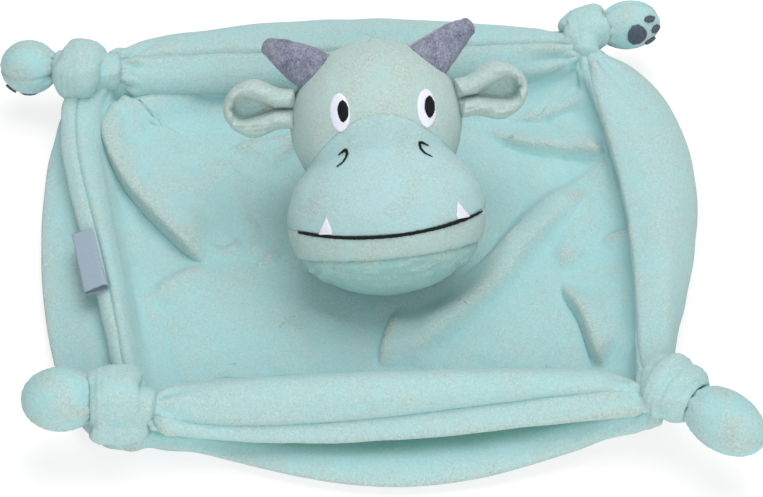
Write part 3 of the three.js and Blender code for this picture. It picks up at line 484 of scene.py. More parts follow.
class Graph:
    """The nodes of one material, or of a world."""

    def __init__(self, name: str, world: bool = False) -> None:
        """Makes an empty material or world of that name."""
        self.owner = (bpy.data.worlds if world else bpy.data.materials).new(name)
        self.owner.use_nodes = True
        self.tree = self.owner.node_tree
        self.tree.nodes.clear()

    def node(self, kind: str, settings: Values, values: Values) -> bpy.types.Node:
        """Adds a node.

        Args:
            kind: the node's type, without its ShaderNode prefix.
            settings: its properties, set first, with a ramp's stops as a list of place and grey.
            values: numbers, colours or links of its inputs, by name or identifier.

        Returns:
            The node.
        """
        made = self.tree.nodes.new(f"ShaderNode{kind}")
        for key, value in settings.items():
            if key == "stops":
                self.set_stops(made, value)
            else:
                setattr(made, key, value)
        for key, value in values.items():
            socket = next(s for s in made.inputs if key in (s.identifier, s.name) and s.enabled)
            if isinstance(value, Socket):
                self.tree.links.new(value.link, socket)
            else:
                socket.default_value = value
        return made

    @staticmethod
    def set_stops(ramp: bpy.types.Node, stops: list[Pair]) -> None:
        """Sets a ramp's stops from places and grey values."""
        elements = ramp.color_ramp.elements
        while len(elements) < len(stops):
            elements.new(1.0)
        for element, (place, grey) in zip(elements, stops):
            element.position = place
            element.color = (grey, grey, grey, 1.0)

    def read(self, kind: str, output: str, settings: Values, values: Values) -> Socket:
        """Adds a node, and gives its enabled output of that name or identifier."""
        made = self.node(kind, settings, values)
        return Socket(self, next(s for s in made.outputs if output in (s.identifier, s.name) and s.enabled))

    def math(self, operation: str, a: Socket | float, b: Socket | float, use_clamp: bool = False) -> Socket:
        """Adds a Math node on two values."""
        settings = {"operation": operation, "use_clamp": use_clamp}
        return self.read("Math", "Value", settings, {"Value": a, "Value_001": b})

    def place(self, stretch: Triple = (1.0, 1.0, 1.0)) -> Socket:
        """Gives the place on the object in metres, stretched by a share on each axis."""
        source = self.read("TexCoord", "Object", {}, {})
        if stretch == (1.0, 1.0, 1.0):
            return source
        values = {"Vector": source, "Vector_001": stretch}
        return self.read("VectorMath", "Vector", {"operation": "MULTIPLY"}, values)

    def noise(self, size: float, detail: float, place: Socket, distortion: float = 0.0) -> Socket:
        """Gives noise whose lumps have about that size in millimetres."""
        return self.read("TexNoise", "Fac", {}, {
            "Vector": place, "Scale": 1.0 / (size * MM), "Detail": detail, "Distortion": distortion,
        })

    def ramp(self, value: Socket, stops: list[Pair]) -> Socket:
        """Maps a value through stops of place and grey."""
        return self.read("ValToRGB", "Color", {"stops": stops}, {"Fac": value})

    def attribute(self, name: str) -> Socket:
        """Gives a number that is stored on the mesh."""
        return self.read("Attribute", "Fac", {"attribute_name": name}, {})

    def mix(self, factor: Socket | float, a: object, b: object) -> Socket:
        """Mixes two colours."""
        values = {"Factor_Float": factor, "A_Color": a, "B_Color": b}
        return self.read("Mix", "Result_Color", {"data_type": "RGBA"}, values)

    def tint(self, colour: Socket, grey: Socket) -> Socket:
        """Multiplies a colour by a grey value."""
        return self.read("VectorMath", "Vector", {"operation": "SCALE"}, {"Vector": colour, "Scale": grey})

    def bump(self, height: Socket, depth: float) -> Socket:
        """Turns a height into a normal, for relief of that depth in millimetres."""
        return self.read("Bump", "Normal", {}, {"Strength": 1.0, "Distance": depth * MM, "Height": height})

    def surface(self, values: Values) -> bpy.types.Material:
        """Closes the material with a Principled shader of those values."""
        self.node("OutputMaterial", {}, {"Surface": self.read("BsdfPrincipled", "BSDF", {}, values)})
        return self.owner


# Finishes


WORN_STOPS = [(0.36, 0.0), (0.66, 1.0)]


@dataclass(frozen=True)
class Plush:
    """Short-pile plush: even where the pile lies flat, pale and grainy where the pile is brushed up and
    where crests are painted lighter, and a deeper painted shade in hollows.
    """

    name: str
    slot: str
    flat: str
    brushed_and_lit: str
    patch: float = 16.0
    patch_share: float = 0.3
    clump: float = 1.05
    hair: float = 0.35
    hair_share: float = 0.38
    even: float = 0.24
    relief: float = 0.8
    # colour of the painted shade in hollows, creases and the pocket under the hem
    shade_colour: str = "529a86"
    shade_share: float = 0.5

    def material(self) -> bpy.types.Material:
        """Builds the material."""
        graph = Graph(self.name)
        place = graph.place()
        nap_and_shade = graph.attribute("nap_and_shade")
        patches = graph.ramp(graph.noise(self.patch, 3.0, place, 0.6), WORN_STOPS)
        # paler where the attribute is high: brushed-up pile, and painted light on crests
        brushed_and_lit = (nap_and_shade + patches * self.patch_share - self.even).clamped()
        clumps = graph.noise(self.clump, 2.5, place, 0.9)
        hairs = graph.noise(self.hair, 1.5, graph.place((1.0, 0.45, 1.0)))
        grain = clumps * (1.0 - self.hair_share) + hairs * self.hair_share
        colour = graph.mix(brushed_and_lit, linear(self.flat), linear(self.brushed_and_lit))
        # painted shade: a deeper colour where the pile attribute falls below 0
        colour = graph.mix((nap_and_shade * -self.shade_share).clamped(), colour, linear(self.shade_colour))
        shade = (grain - 0.5) * (brushed_and_lit * 0.75 + 0.5) + 1.0
        return graph.surface({
            "Base Color": graph.tint(colour, shade),
            "Roughness": 0.95,
            "Specular IOR Level": 0.15,
            "Sheen Weight": 0.12,
            "Sheen Roughness": 0.6,
            "Normal": graph.bump(grain * (brushed_and_lit * 0.8 + 0.5), self.relief),
        })


@dataclass(frozen=True)
class HornPile:
    """Longer grey pile that is brushed along the horn in streaks."""

    name: str
    slot: str
    dark: str
    pale: str
    patch: float = 7.0
    streak: float = 0.75

    def material(self) -> bpy.types.Material:
        """Builds the material."""
        graph = Graph(self.name)
        patches = graph.noise(self.patch, 3.0, graph.place(), 0.8)
        streaks = graph.noise(self.streak, 3.0, graph.place((1.0, 0.7, 0.5)), 1.4)
        mask = graph.ramp(patches * 0.35 + streaks * 0.65, WORN_STOPS)
        worn = (mask + graph.attribute("nap_and_shade") * 0.7).clamped()
        return graph.surface({
            "Base Color": graph.mix(worn, linear(self.dark), linear(self.pale)),
            "Roughness": 0.9,
            "Specular IOR Level": 0.2,
            "Sheen Weight": 0.2,
            "Sheen Roughness": 0.5,
            "Normal": graph.bump(patches * 0.2 + streaks * 0.8, 0.5),
        })


@dataclass(frozen=True)
class Thread:
    """Embroidery thread: a little shiny, with fine strands along each stitch."""

    name: str
    slot: str
    colour: str
    shade: str
    roughness: float = 0.55
    strand: float = 0.22

    def material(self) -> bpy.types.Material:
        """Builds the material."""
        graph = Graph(self.name)
        strands = graph.noise(self.strand, 2.0, graph.place((0.35, 1.0, 1.0)))
        mask = graph.ramp(strands, [(0.35, 0.0), (0.68, 1.0)])
        return graph.surface({
            "Base Color": graph.mix(mask, linear(self.shade), linear(self.colour)),
            "Roughness": self.roughness,
            "Specular IOR Level": 0.2,
            "Normal": graph.bump(strands, 0.12),
        })


@dataclass(frozen=True)
class Ribbon:
    """Woven ribbon: fine ribs across its length."""

    name: str
    slot: str
    colour: str
    shade: str
    pitch: float = 0.42
    wave_turn: float = 6.5
    yarn: float = 0.3

    def material(self) -> bpy.types.Material:
        """Builds the material."""
        graph = Graph(self.name)
        scale = 1.0 / (self.pitch * MM) / self.wave_turn
        ribs = graph.read("TexWave", "Fac", {"wave_type": "BANDS", "bands_direction": "Y"}, {
            "Vector": graph.place(), "Scale": scale, "Distortion": 1.2, "Detail": 1.0,
        })
        yarn = graph.noise(self.yarn, 2.0, graph.place((1.0, 0.25, 1.0)))
        mask = (ribs * 0.55 + yarn * 0.5).clamped()
        return graph.surface({
            "Base Color": graph.mix(mask, linear(self.shade), linear(self.colour)),
            "Roughness": 0.6,
            "Specular IOR Level": 0.35,
            "Sheen Weight": 0.2,
            "Normal": graph.bump(mask, 0.14),
        })


@dataclass(frozen=True)
class Wadding:
    """White fibre filling."""

    name: str
    tuft: float = 5.0

    def material(self) -> bpy.types.Material:
        """Builds the material."""
        graph = Graph(self.name)
        tufts = graph.noise(self.tuft, 5.0, graph.place(), 1.5)
        return graph.surface({
            "Base Color": graph.mix(tufts, linear("d9dad6"), linear("f6f6f2")),
            "Roughness": 1.0,
            "Normal": graph.bump(tufts, 2.0),
        })


@dataclass(frozen=True)
class Moulded:
    """Milky moulded plastic with a faint grain."""

    name: str
    cloud: float = 4.0
    grain: float = 0.5

    def material(self) -> bpy.types.Material:
        """Builds the material."""
        graph = Graph(self.name)
        cloud = graph.noise(self.cloud, 2.0, graph.place())
        return graph.surface({
            "Base Color": graph.mix(cloud, linear("e4e6e4"), linear("f2f3f1")),
            "Roughness": 0.4 + cloud * 0.1,
            "Normal": graph.bump(graph.noise(self.grain, 2.0, graph.place()), 0.03),
        })


class Finish(Enum):
    """The toy's finishes."""

    BLANKET = Plush("blanket_plush", "mint_plush", "a2cbcd", "b4c8c4")
    CROWN = Plush("crown_plush", "pale_plush", "aac5c2", "b6c7c1", patch=24.0, even=0.1)
    MUZZLE = Plush("muzzle_plush", "mint_plush", "a6c7c9", "aec6c5", patch=24.0, even=0.3)
    # the jaw is a darker copy of the muzzle's plush, as painted shade under the head
    JAW = Plush("jaw_plush_painted_shade", "mint_plush", "90bab7", "a8c6c0", patch=9.0, even=0.1)
    HORN = HornPile("horn_pile", "horn_plush", "555b70", "a0a4b4")
    WHITE = Thread("white_thread", "white_thread", "fafafe", "d8dcf0")
    BLACK = Thread("black_thread", "black_thread", "111a16", "080d0b", 0.5)
    PAD = Thread("pad_thread", "pad_thread", "6a7585", "2f3745", 0.5)
    LABEL = Ribbon("label_ribbon", "label_ribbon", "a3b4c2", "8699ab")
    WADDING = Wadding("wadding")
    PLASTIC = Moulded("squeaker_plastic")


class Toy:
    """Adds the sub-assemblies' pieces to the scene, and makes each finish's material once."""

    def __init__(self) -> None:
        """Starts with no materials made."""
        self.made: dict[Finish, bpy.types.Material] = {}

    def dress(self, obj: bpy.types.Object, finish: Finish) -> None:
        """Gives an object a finish in all its slots."""
        if finish not in self.made:
            self.made[finish] = finish.value.material()
        obj.data.materials.clear()
        obj.data.materials.append(self.made[finish])

    def add(self, name: str, mesh: Mesh, finish: Finish, node: str, body: str | None) -> bpy.types.Object:
        """Adds a piece to the toy.

        Args:
            name: the piece's name.
            mesh: its mesh.
            finish: what it is made of.
            node: the node that it stands for.
            body: the body it rides on, or None for a piece that is not attached to one.

        Returns:
            The new object.
        """
        obj = linked(name, mesh)
        self.dress(obj, finish)
        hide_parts(node)
        if body:
            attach(obj, body)
        LOG.info("%s: %d vertices", name, len(mesh.vertices))
        return obj


# Blanket


FLOOR_Z = 0.9
UPPER_Z = 3.0
PAW_OPENING = 4.0
PAW_WALL = 1.2


@dataclass(frozen=True)
class Corner:
    """A corner of the blanket: where its cloth gathers, its knot, and the way its paw points."""

    name: str
    gather: Triple
    knot: Triple
    knot_size: float
    arm: Triple
    neck: float
    paw_radius: float
    paw_half: float
    sole: Triple
    belly: Triple

    def direction(self) -> Array:
        """Gives the way that the paw points."""
        return unit(np.array(self.arm, float))

    def neck_point(self) -> Array:
        """Gives the place where the paw leaves the knot."""
        return np.array(self.knot, float) + self.direction() * self.neck

    def paw_middle(self) -> Array:
        """Gives the middle of the paw."""
        return self.neck_point() + self.direction() * self.paw_half

    def paw_pivot(self) -> Array:
        """Gives the point that the paw bends about, halfway through its wall at the neck."""
        alongs = []
        for inset in (0.0, PAW_WALL):
            radius, half = self.paw_radius - inset, self.paw_half - inset
            first = math.asin(min(1.0, PAW_OPENING / radius))
            alongs.append(self.paw_half - half * math.cos(first))
        return self.neck_point() + self.direction() * (sum(alongs) / 2)


CORNERS = (
    Corner("front_left", (-104, -110, 27), (-118, -108, 30), 0.94, (-24, -1.2, 1.2), 5.9, 14.2, 17.2,
           (-0.35, 0.25, -1), (14, 6, FLOOR_Z)),
    Corner("front_right", (120, -105, 27), (131, -103.4, 29.3), 1.0, (20, -18, 0.8), 5, 13.3, 20.3,
           (0.3, 0.35, -1), (24, 20, 17)),
    Corner("back_right", (102, 118, 25), (102.5, 133, 26), 0.86, (23, 3.5, 1), 7.5, 12.2, 15.8,
           (0.45, -0.85, 0.27), (14, 6, FLOOR_Z)),
    Corner("back_left", (-134, 104, 25), (-149, 103.2, 27), 1.04, (-27, 3.5, -1), 12.8, 13.5, 14.4,
           (-0.3, -0.2, -1), (18, 12, FLOOR_Z)),
)


@dataclass(frozen=True)
class Side:
    """One side of the rim: its sections near its start, at its middle and near its end."""

    sections: tuple[Line, Line, Line]
    places: Triple = (0.15, 0.5, 0.85)

    def mixed(self, along: Array) -> Array:
        """Gives the section at each place along the side, as rows of outward offset and height."""
        place = np.clip(along, 0.1, 0.9)
        total = np.zeros((len(along), len(self.sections[0]), 2))
        for own, section in zip(self.places, self.sections):
            weight = np.ones(len(along))
            for other in self.places:
                if other != own:
                    weight = weight * (place - other) / (own - other)
            total += weight[:, None, None] * np.array(section, float)
        return total


@dataclass(frozen=True)
class Fold:
    """A fold of the cloth along a line on the floor.

    The fold rises by its height, over the first width on the left of the line and the second on the right,
    and its crest leans to the left by its hang. The ends are the shares over which it fades in and out.
    """

    line: Line
    height: float
    widths: Pair
    hang: float = 0.0
    ends: Pair = (0.18, 0.18)
    slope: float = 1.1

    def shape(self, grid: Array) -> Array:
        """Gives the push that the fold gives each point, with its height last."""
        knots = np.array([(x, y, 0.0) for x, y in self.line], float)
        line = catmull_rom(knots, np.linspace(0, 1, 6 * len(knots)))[:, :2]
        push = np.zeros_like(grid)
        reach = 3.0 * max(self.widths)
        low, high = line.min(0) - reach, line.max(0) + reach
        near = np.all((grid[:, :2] > low) & (grid[:, :2] < high), axis=1)
        distance, share, right = line_field(grid[near, :2], line)
        width = np.where(distance < 0, self.widths[0], self.widths[1])
        long = np.linalg.norm(np.diff(line, axis=0), axis=1).sum()
        spread = np.minimum(0.6, self.slope * np.abs(distance) / long)
        fade = (smoothstep(share / (self.ends[0] + spread), 0.0, 1.0)
                * smoothstep((1 - share) / (self.ends[1] + spread), 0.0, 1.0))
        swell = bell(distance, width) * fade
        push[near, 2] = self.height * swell
        lean = np.exp(-((distance / min(self.widths)) ** 2) / 3.0) * fade
        push[near, :2] = -right * (self.hang * lean)[:, None]
        return push


CORNER_SECTION: Line = (
    (-34, UPPER_Z), (-23, 11), (-14, 19), (-9, 25), (-4, 29), (1, 30.5),
    (5, 28), (5, 22), (4, 14), (5, 6), (-2, FLOOR_Z),
)

SIDES = (
    Side((
        ((-34, UPPER_Z), (-25, 14), (-16, 27), (-9, 32), (0, 29.5), (9, 18),
         (13, 13), (-2, 10), (6, 8), (14, 5), (7, FLOOR_Z)),
        ((-34, UPPER_Z), (-25, 14), (-16, 28), (-8, 34), (0, 31.5), (5, 23.5),
         (12, 17), (-3, 11), (13, 8.5), (29, 5), (21, FLOOR_Z)),
        ((-34, UPPER_Z), (-25, 15), (-17, 30), (-9, 36.5), (-4, 35), (0, 31),
         (10, 22), (-7, 16), (6, 12.5), (16, 6), (10, FLOOR_Z)),
    )),
    Side((
        ((-16, UPPER_Z), (-6, 4.5), (0, 8), (1, 13), (-1, 18), (-3, 21.5),
         (5, 25.5), (13, 26), (17, 20), (18, 12), (13, 8)),
        ((-13, UPPER_Z), (-3, 4.5), (9, 8), (11, 13), (8, 18), (5, 21.5),
         (12, 25.5), (22, 27), (32, 21), (39, 8), (32, FLOOR_Z)),
        ((-13, UPPER_Z), (-3, 4.5), (5, 8), (7, 13), (4, 18), (1, 21.5),
         (10, 25.5), (22, 27), (44, 21), (54, 8), (44, FLOOR_Z)),
    )),
    Side((
        ((-24, UPPER_Z), (-12, 5), (-3, 9), (-6, 16), (-2, 22), (8, 27),
         (17, 27), (27, 25), (35, 19), (42, 9), (34, FLOOR_Z)),
        ((-24, UPPER_Z), (-12, 5), (-3, 9), (-7, 16), (-4, 22), (7, 26.5),
         (16, 27), (26, 25.5), (36, 20), (42, 9), (34, FLOOR_Z)),
        ((-24, UPPER_Z), (-12, 5), (-3, 9), (-7, 16), (-3, 23), (10, 28),
         (22, 28.5), (32, 26), (40, 19), (45, 10), (36, FLOOR_Z)),
    )),
    Side((
        ((-2, UPPER_Z), (8, 6), (16, 11), (19, 16), (24, 19.5), (29, 20),
         (36, 17), (34, 11), (36, 8), (43, 5), (36, FLOOR_Z)),
        ((-9, UPPER_Z), (1, 7), (5, 12), (7.5, 17), (11, 20.5), (15, 20.5),
         (20.5, 17), (20, 11), (28, 9), (42, 5), (35, FLOOR_Z)),
        ((-7, UPPER_Z), (2, 7), (5, 12), (7, 17), (9, 20), (11.5, 20),
         (15, 16.5), (14.5, 11), (30, 9), (47, 5), (39, FLOOR_Z)),
    )),
)

FOLDS = (
    Fold(((-143, 105), (-142, 94), (-137, 78), (-132, 63), (-122, 44),
          (-109, 26), (-93, 6), (-82, -6)), 10.0, (34.0, 1.5), -3.2, (0.02, 0.12)),
    Fold(((-82, -6), (-91, -14), (-99, -21), (-109, -29), (-115, -31), (-121, -32)),
         3.6, (16.0, 5.0), -0.3, (0.3, 0.4)),
    Fold(((-90, 109), (-99, 104), (-112, 98), (-125, 88)), 6.0, (9.0, 7.0), 0.6, (0.12, 0.35)),
    Fold(((-77, 68), (-59, 72), (-41, 76)), 5.0, (1.8, 17.0), 0.9, (0.3, 0.05)),
    Fold(((-70, 67), (-78, 54), (-87, 31)), 2.4, (15.0, 9.0), 0.0, (0.25, 0.35)),
    Fold(((-84, 6), (-78, 2), (-71, 4), (-68, 13)), 1.6, (2.2, 5.0), 0.2, (0.3, 0.35)),
    Fold(((-63, -6), (-61, 8), (-64, 20), (-70, 28)), 1.5, (5.0, 3.5), 0.0, (0.3, 0.4)),
    Fold(((-43, 17), (-46, 6), (-53, -2), (-62, -9)), 4.0, (3.0, 10.0), 0.6, (0.05, 0.35)),
    Fold(((12, -20), (9, -34), (5, -48), (2, -61), (-1, -75)), 5.0, (24.0, 2.2), -0.8, (0.5, 0.3)),
    Fold(((106, 43), (92, 32), (71, 9), (56, -14), (38, -35), (21, -53), (10, -69)),
         6.5, (6.0, 12.0), 0.5, (0.12, 0.16)),
    Fold(((111, 57), (96, 45), (78, 30), (64, 13), (54, -3)), 2.2, (13.0, 3.5), 0.0, (0.05, 0.3)),
    Fold(((104, 37), (95, 18), (88, 0), (86, -12)), 4.0, (12.0, 6.0), 0.0, (0.2, 0.2)),
    Fold(((85, -12), (89, -26), (95, -38), (99, -55), (102, -72)),
         8.0, (15.0, 2.2), -1.6, (0.4, 0.16)),
    Fold(((71, 21), (59, 6), (50, -5), (38, -15), (30, -22)), 2.6, (10.0, 1.6), -0.4, (0.3, 0.3)),
    Fold(((49, 86), (68, 75), (90, 68), (111, 61)), 6.0, (12.0, 3.0), -0.7, (0.45, 0.1)),
    Fold(((62, 90), (82, 93), (106, 100)), 3.6, (9.0, 2.6), -0.5, (0.35, 0.05)),
    Fold(((104, 7), (114, 9), (125, 11)), 3.0, (1.6, 9.0), 0.6, (0.3, 0.02)),
    Fold(((-98, -92), (-80, -78), (-60, -66)), 2.4, (5.0, 6.0), 0.0, (0.1, 0.5)),
    Fold(((-92, -96), (-70, -88), (-44, -80)), 2.0, (4.0, 5.0), 0.0, (0.1, 0.5)),
    Fold(((-50, -34), (-38, -52), (-30, -72)), 1.5, (6.0, 6.0), 0.0, (0.4, 0.4)),
    Fold(((50, -50), (66, -66), (80, -80)), 1.4, (8.0, 8.0), 0.0, (0.4, 0.4)),
)


@dataclass
class Blanket:
    """The two plush panels, sewn together along the hem in the rim."""

    toy: Toy
    middle: Pair = (-4, 2)
    cloth: float = 1.8
    sharpness: float = 0.4
    corner_turn: float = 1.15
    steps: int = 256
    floor_rings: int = 118
    rim_rings: int = 64
    under_rings: int = 24
    innermost: float = 0.1
    seam_index: int = 5
    belly_index: int = 8
    evening: tuple[float, ...] = (11, 7, 4, 2, 1.2, 0.8, 1.2, 1.6, 2, 2.6, 4)
    evening_steps: int = 170
    free_rows: tuple[int, ...] = (4, 5, 6, 7)
    fan: float = 3.0
    fold_heights: Pair = (7.0, 17.0)
    head_y: float = 14.0
    head_room: Pair = (44.0, 62.0)
    swells: tuple[tuple[int, float, float], ...] = ((11, 0.9, 46.0), (12, 0.35, 17.0))
    hem_dip: float = 1.7
    hem_width: float = 1.5
    pucker: float = 0.25
    pucker_size: float = 12.0
    pucker_reach: float = 7.0
    pleat: float = 1.5
    pleat_size: float = 0.42
    pleat_start: Pair = (3.0, 12.0)
    pleat_reach: float = 24.0
    slack: float = 0.2
    slack_size: float = 24.0
    slack_start: float = 4.0
    crest_rounds: int = 30
    # Pile values below: crests are painted paler and hollows deeper, as painted light and shade, and the
    # pocket under the lip is painted in shade.
    nap_and_shade: float = 0.32
    crest_shade_gain: float = 0.85
    fold_shade_limit: float = -0.4
    hub_nap: float = 0.3
    pocket_shade_depth: float = 2.0
    pocket_place: float = 7.7
    pocket_width: float = 0.42
    overhang: Pair = (1.0, 5.5)
    underside: Pair = (8.2, 9.2)
    underside_nap: float = 0.1

    def fullness(self, along: Array) -> Array:
        """Gives the share of the side's own section at each place along it."""
        return np.sin(math.pi * along) ** self.sharpness

    def sections(self) -> Array:
        """Gives the rim's section points all the way round, with the point's number first."""
        stretches = []
        even = np.arange(self.steps) / self.steps
        along = (even + (1 - np.cos(math.pi * even)) / 2) / 2
        share = self.fullness(along)
        centre = np.array([*self.middle, 0.0])
        for side, shape in enumerate(SIDES):
            ends = CORNERS[side], CORNERS[(side + 1) % 4]
            start, end = (np.array([*corner.gather[:2], 0.0]) for corner in ends)
            run = unit(end - start)
            outward = np.array([run[1], -run[0], 0.0])
            turns = [unit(point - centre) for point in (start, end)]
            first = along < 0.5
            corner = np.where(first[:, None], turns[0], turns[1])
            turn = np.minimum(1, share * self.corner_turn)[:, None]
            normal = unit(lerp(corner, outward, turn))
            base = lerp(start, end, along[:, None])
            mixed = shape.mixed(along)
            rows = []
            for i, (offset, height) in enumerate(CORNER_SECTION):
                if i >= self.belly_index:
                    low = [corner.belly[i - self.belly_index] for corner in ends]
                    height = np.where(first, low[0], low[1])
                point = base + normal * lerp(offset, mixed[:, i, 0], share)[:, None]
                point[:, 2] = lerp(height, mixed[:, i, 1], share)
                rows.append(point)
            stretches.append(np.stack(rows))
        rim = np.concatenate(stretches, axis=1)
        scale = self.steps / self.evening_steps
        rows = [evened(row, width * scale) for row, width in zip(rim, self.evening)]
        width = self.fan * scale
        return np.stack([
            row if i in self.free_rows else fanned(row, centre, width) for i, row in enumerate(rows)
        ])

    def grid(self, upper: bool) -> Array:
        """Gives the middle surface of a panel, from near the blanket's middle to the hem."""
        sections = self.sections()
        seam = self.seam_index / (len(CORNER_SECTION) - 1)
        foot = 0.0 if upper else 1.0
        level = UPPER_Z if upper else FLOOR_Z
        rim = catmull_rom(sections, np.linspace(foot, seam, self.rim_rings + 1))
        rim[..., 2] = np.maximum(rim[..., 2], level)
        edge = rim[0].copy()
        edge[:, 2] = level
        centre = np.array([*self.middle, level])
        rings = self.floor_rings if upper else self.under_rings
        shares = np.linspace(self.innermost, 1, rings + 1)[:-1]
        floor = centre + (edge - centre) * shares[:, None, None]
        return np.concatenate([floor, rim])

    def folded(self, grid: Array) -> Array:
        """Lays the folds over the part of the top panel that lies low."""
        flat = grid.reshape(-1, 3)
        push = np.zeros_like(flat)
        for fold in FOLDS:
            push += fold.shape(flat)
        from_head = np.hypot(flat[:, 0], flat[:, 1] - self.head_y)
        low = (1 - smoothstep(flat[:, 2], *self.fold_heights)) * smoothstep(from_head, *self.head_room)
        push[:, 2] += sum(height * Ripple(seed, size).at(flat) * low for seed, height, size in self.swells)
        moved = flat + push * low[:, None]
        moved[:, 2] = np.maximum(moved[:, 2], UPPER_Z)
        return moved.reshape(grid.shape)

    def creased(self, grid: Array, outer: float) -> Array:
        """Draws the hem in along the seam, and puckers the cloth towards the knots."""
        normals = grid_normals(grid) * outer
        flat = grid.reshape(-1, 3)
        steps = np.linalg.norm(np.diff(grid, axis=0), axis=-1)
        to_hem = np.concatenate([np.cumsum(steps[::-1], axis=0)[::-1], np.zeros((1, grid.shape[1]))])
        depth = self.hem_dip * bell(to_hem, self.hem_width)
        pucker = self.pucker * Ripple(21, self.pucker_size).at(flat).reshape(depth.shape)
        depth = depth - pucker * bell(to_hem, self.pucker_reach)
        height = -depth.reshape(-1)
        for seed, corner in enumerate(CORNERS):
            offset = flat - np.array(corner.gather, float)
            distance = np.linalg.norm(offset, axis=1)
            close = bell(distance, self.pleat_reach) * smoothstep(distance, *self.pleat_start)
            height += self.pleat * close * Ripple(30 + seed, self.pleat_size).at(unit(offset))
        slack = np.minimum(1.0, np.maximum(flat[:, 2] - UPPER_Z, 0.0) / self.slack_start)
        height += self.slack * Ripple(41, self.slack_size).at(flat) * slack
        return grid + normals * height.reshape(depth.shape)[..., None]

    def painted_pocket_shade(self, nap_and_shade: Array, grid: Array) -> Array:
        """Paints shade, as a deeper colour, into the back panel's pocket under an overhanging lip, and
        keeps it off the underside.
        """
        foot = len(CORNER_SECTION) - 1
        rim = np.linspace(foot, self.seam_index, self.rim_rings + 1)
        section = np.concatenate([np.full(self.under_rings, float(foot)), rim])
        reach = np.hypot(grid[..., 0] - self.middle[0], grid[..., 1] - self.middle[1])
        lip, hollow = (reach[np.argmin(np.abs(section - self.seam_index - k))] for k in (1, 2))
        overhang = smoothstep(lip - hollow, *self.overhang)
        pocket_shade_mask = bell(section - self.pocket_place, self.pocket_width)[:, None] * overhang[None]
        # painted shade in the pocket under the lip
        shaded = nap_and_shade - self.pocket_shade_depth * pocket_shade_mask
        beneath = smoothstep(section, *self.underside)[:, None]
        return shaded + (np.maximum(shaded, self.underside_nap) - shaded) * beneath

    def panel(self, upper: bool) -> Mesh:
        """Makes a panel's closed mesh, with its pile and painted light and shade: paler on crests, deeper
        in fold valleys and, on the back panel, in the pocket under the lip.
        """
        outer = 1.0 if upper else -1.0
        grid = self.grid(upper)
        if upper:
            grid = self.folded(grid)
        grid = self.creased(grid, outer)
        normals = grid_normals(grid)
        lowest = (UPPER_Z if upper else FLOOR_Z) - self.cloth / 2
        sheets = []
        for face in (1, -1):
            sheet = grid + normals * (face * self.cloth / 2)
            sheet[..., 2] = np.maximum(sheet[..., 2], lowest)
            sheets.append(sheet)
        points, faces = slab(*sheets, True)
        rows, columns = grid.shape[:2]
        hub = len(points)
        points = np.concatenate([points, [sheet[0].mean(axis=0) for sheet in sheets]])
        faces = faces[:2] + faces[3:] + [
            hub_faces(0, columns, hub), hub_faces(rows * columns, columns, hub + 1, True),
        ]
        name = "blanket_top_cloth" if upper else "blanket_back_cloth"
        mesh = make_mesh(name, points, faces, True)
        stand = crests(grid, normals * outer, self.crest_rounds)
        # paler on crests and deeper in fold valleys: painted light and shade from the cloth's relief
        nap_and_shade = np.maximum(self.nap_and_shade + self.crest_shade_gain * stand, self.fold_shade_limit)
        if not upper:
            nap_and_shade = self.painted_pocket_shade(nap_and_shade, grid)
        nap_and_shade = nap_and_shade.reshape(-1)
        set_nap_and_shade(mesh, np.concatenate([nap_and_shade, nap_and_shade, [self.hub_nap] * 2]))
        return mesh

    def build(self) -> None:
        """Adds both panels."""
        top, back = (
            self.toy.add(f"blanket_{name}_cloth", self.panel(name == "top"), Finish.BLANKET,
                         f"blanket_{name}_panel", "blanket")
            for name in ("top", "back")
        )


@dataclass
class Label:
    """The folded woven ribbon in the left hem, with its open end to the front."""

    toy: Toy
    rows: int = 60
    bulge: float = 1.5
    ply: float = 0.5
    loop_at: float = 0.86
    sewn_gape: float = 0.35

    def build(self) -> None:
        """Adds the ribbon in the place of its node."""
        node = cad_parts["label_loop"]
        flat = mesh_points(node.data)
        middle = flat.mean(axis=0)
        _, _, axes = np.linalg.svd(flat - middle, full_matrices=False)
        signs = np.array([-np.sign(axes[0, 1]), -np.sign(axes[1, 0]), np.sign(axes[2, 2])])
        along, out, thick = axes * signs[:, None]
        local = (flat - middle) @ np.stack([along, out, thick]).T
        low = local.min(axis=0)
        length, width, depth = local.max(axis=0) - low
        angles = np.linspace(-math.pi / 2, math.pi / 2, 13)
        shares = np.linspace(0, 0.9, 12)
        opened = [self.sewn_gape + (1 - self.sewn_gape) * s ** 0.6 for s in shares]
        rings = []
        for place in np.linspace(0, 1, self.rows):
            gape = depth / 2 - self.ply / 2 + self.bulge * place ** 2
            line = [(s * width * 0.94, gape * share) for s, share in zip(shares, opened)]
            loop = [(width * self.loop_at + gape * 0.9 * math.cos(a), gape * math.sin(a)) for a in angles]
            path = np.array([(x, -y) for x, y in line[:-1]] + loop + line[:-1][::-1])
            lean = np.gradient(path, axis=0)
            normal = unit(np.stack([lean[:, 1], -lean[:, 0]], -1))
            drift = 0.8 * math.sin(2.2 * place) - 0.5 * place
            ring = []
            for side in (path + normal * k * self.ply / 2 for k in (1, -1)):
                start = middle + (low[0] + length * place) * along
                ring.append(start + np.outer(low[1] + width - side[:, 0], out)
                            + np.outer(side[:, 1] + drift, thick))
            rings.append(ring)
        top, under = (np.array(sheet) for sheet in zip(*rings))
        mesh = make_mesh("label_ribbon_loop", *slab(top, under, False))
        label = self.toy.add("label_ribbon_loop", mesh, Finish.LABEL, "label_loop", "label")
        length * MM
        2 * width * MM


# Knots and paws


@dataclass(frozen=True)
class Wrap:
    """One turn of cloth round a knot: its place along the arm, its lean and its thickness.

    The leans are in degrees, first in a level plane and then to the side, and the thickness is along the
    arm and then away from it.
    """

    place: float
    level: float
    lean: float
    ring: float
    thick: Pair
    aside: Pair = (0.0, 0.0)


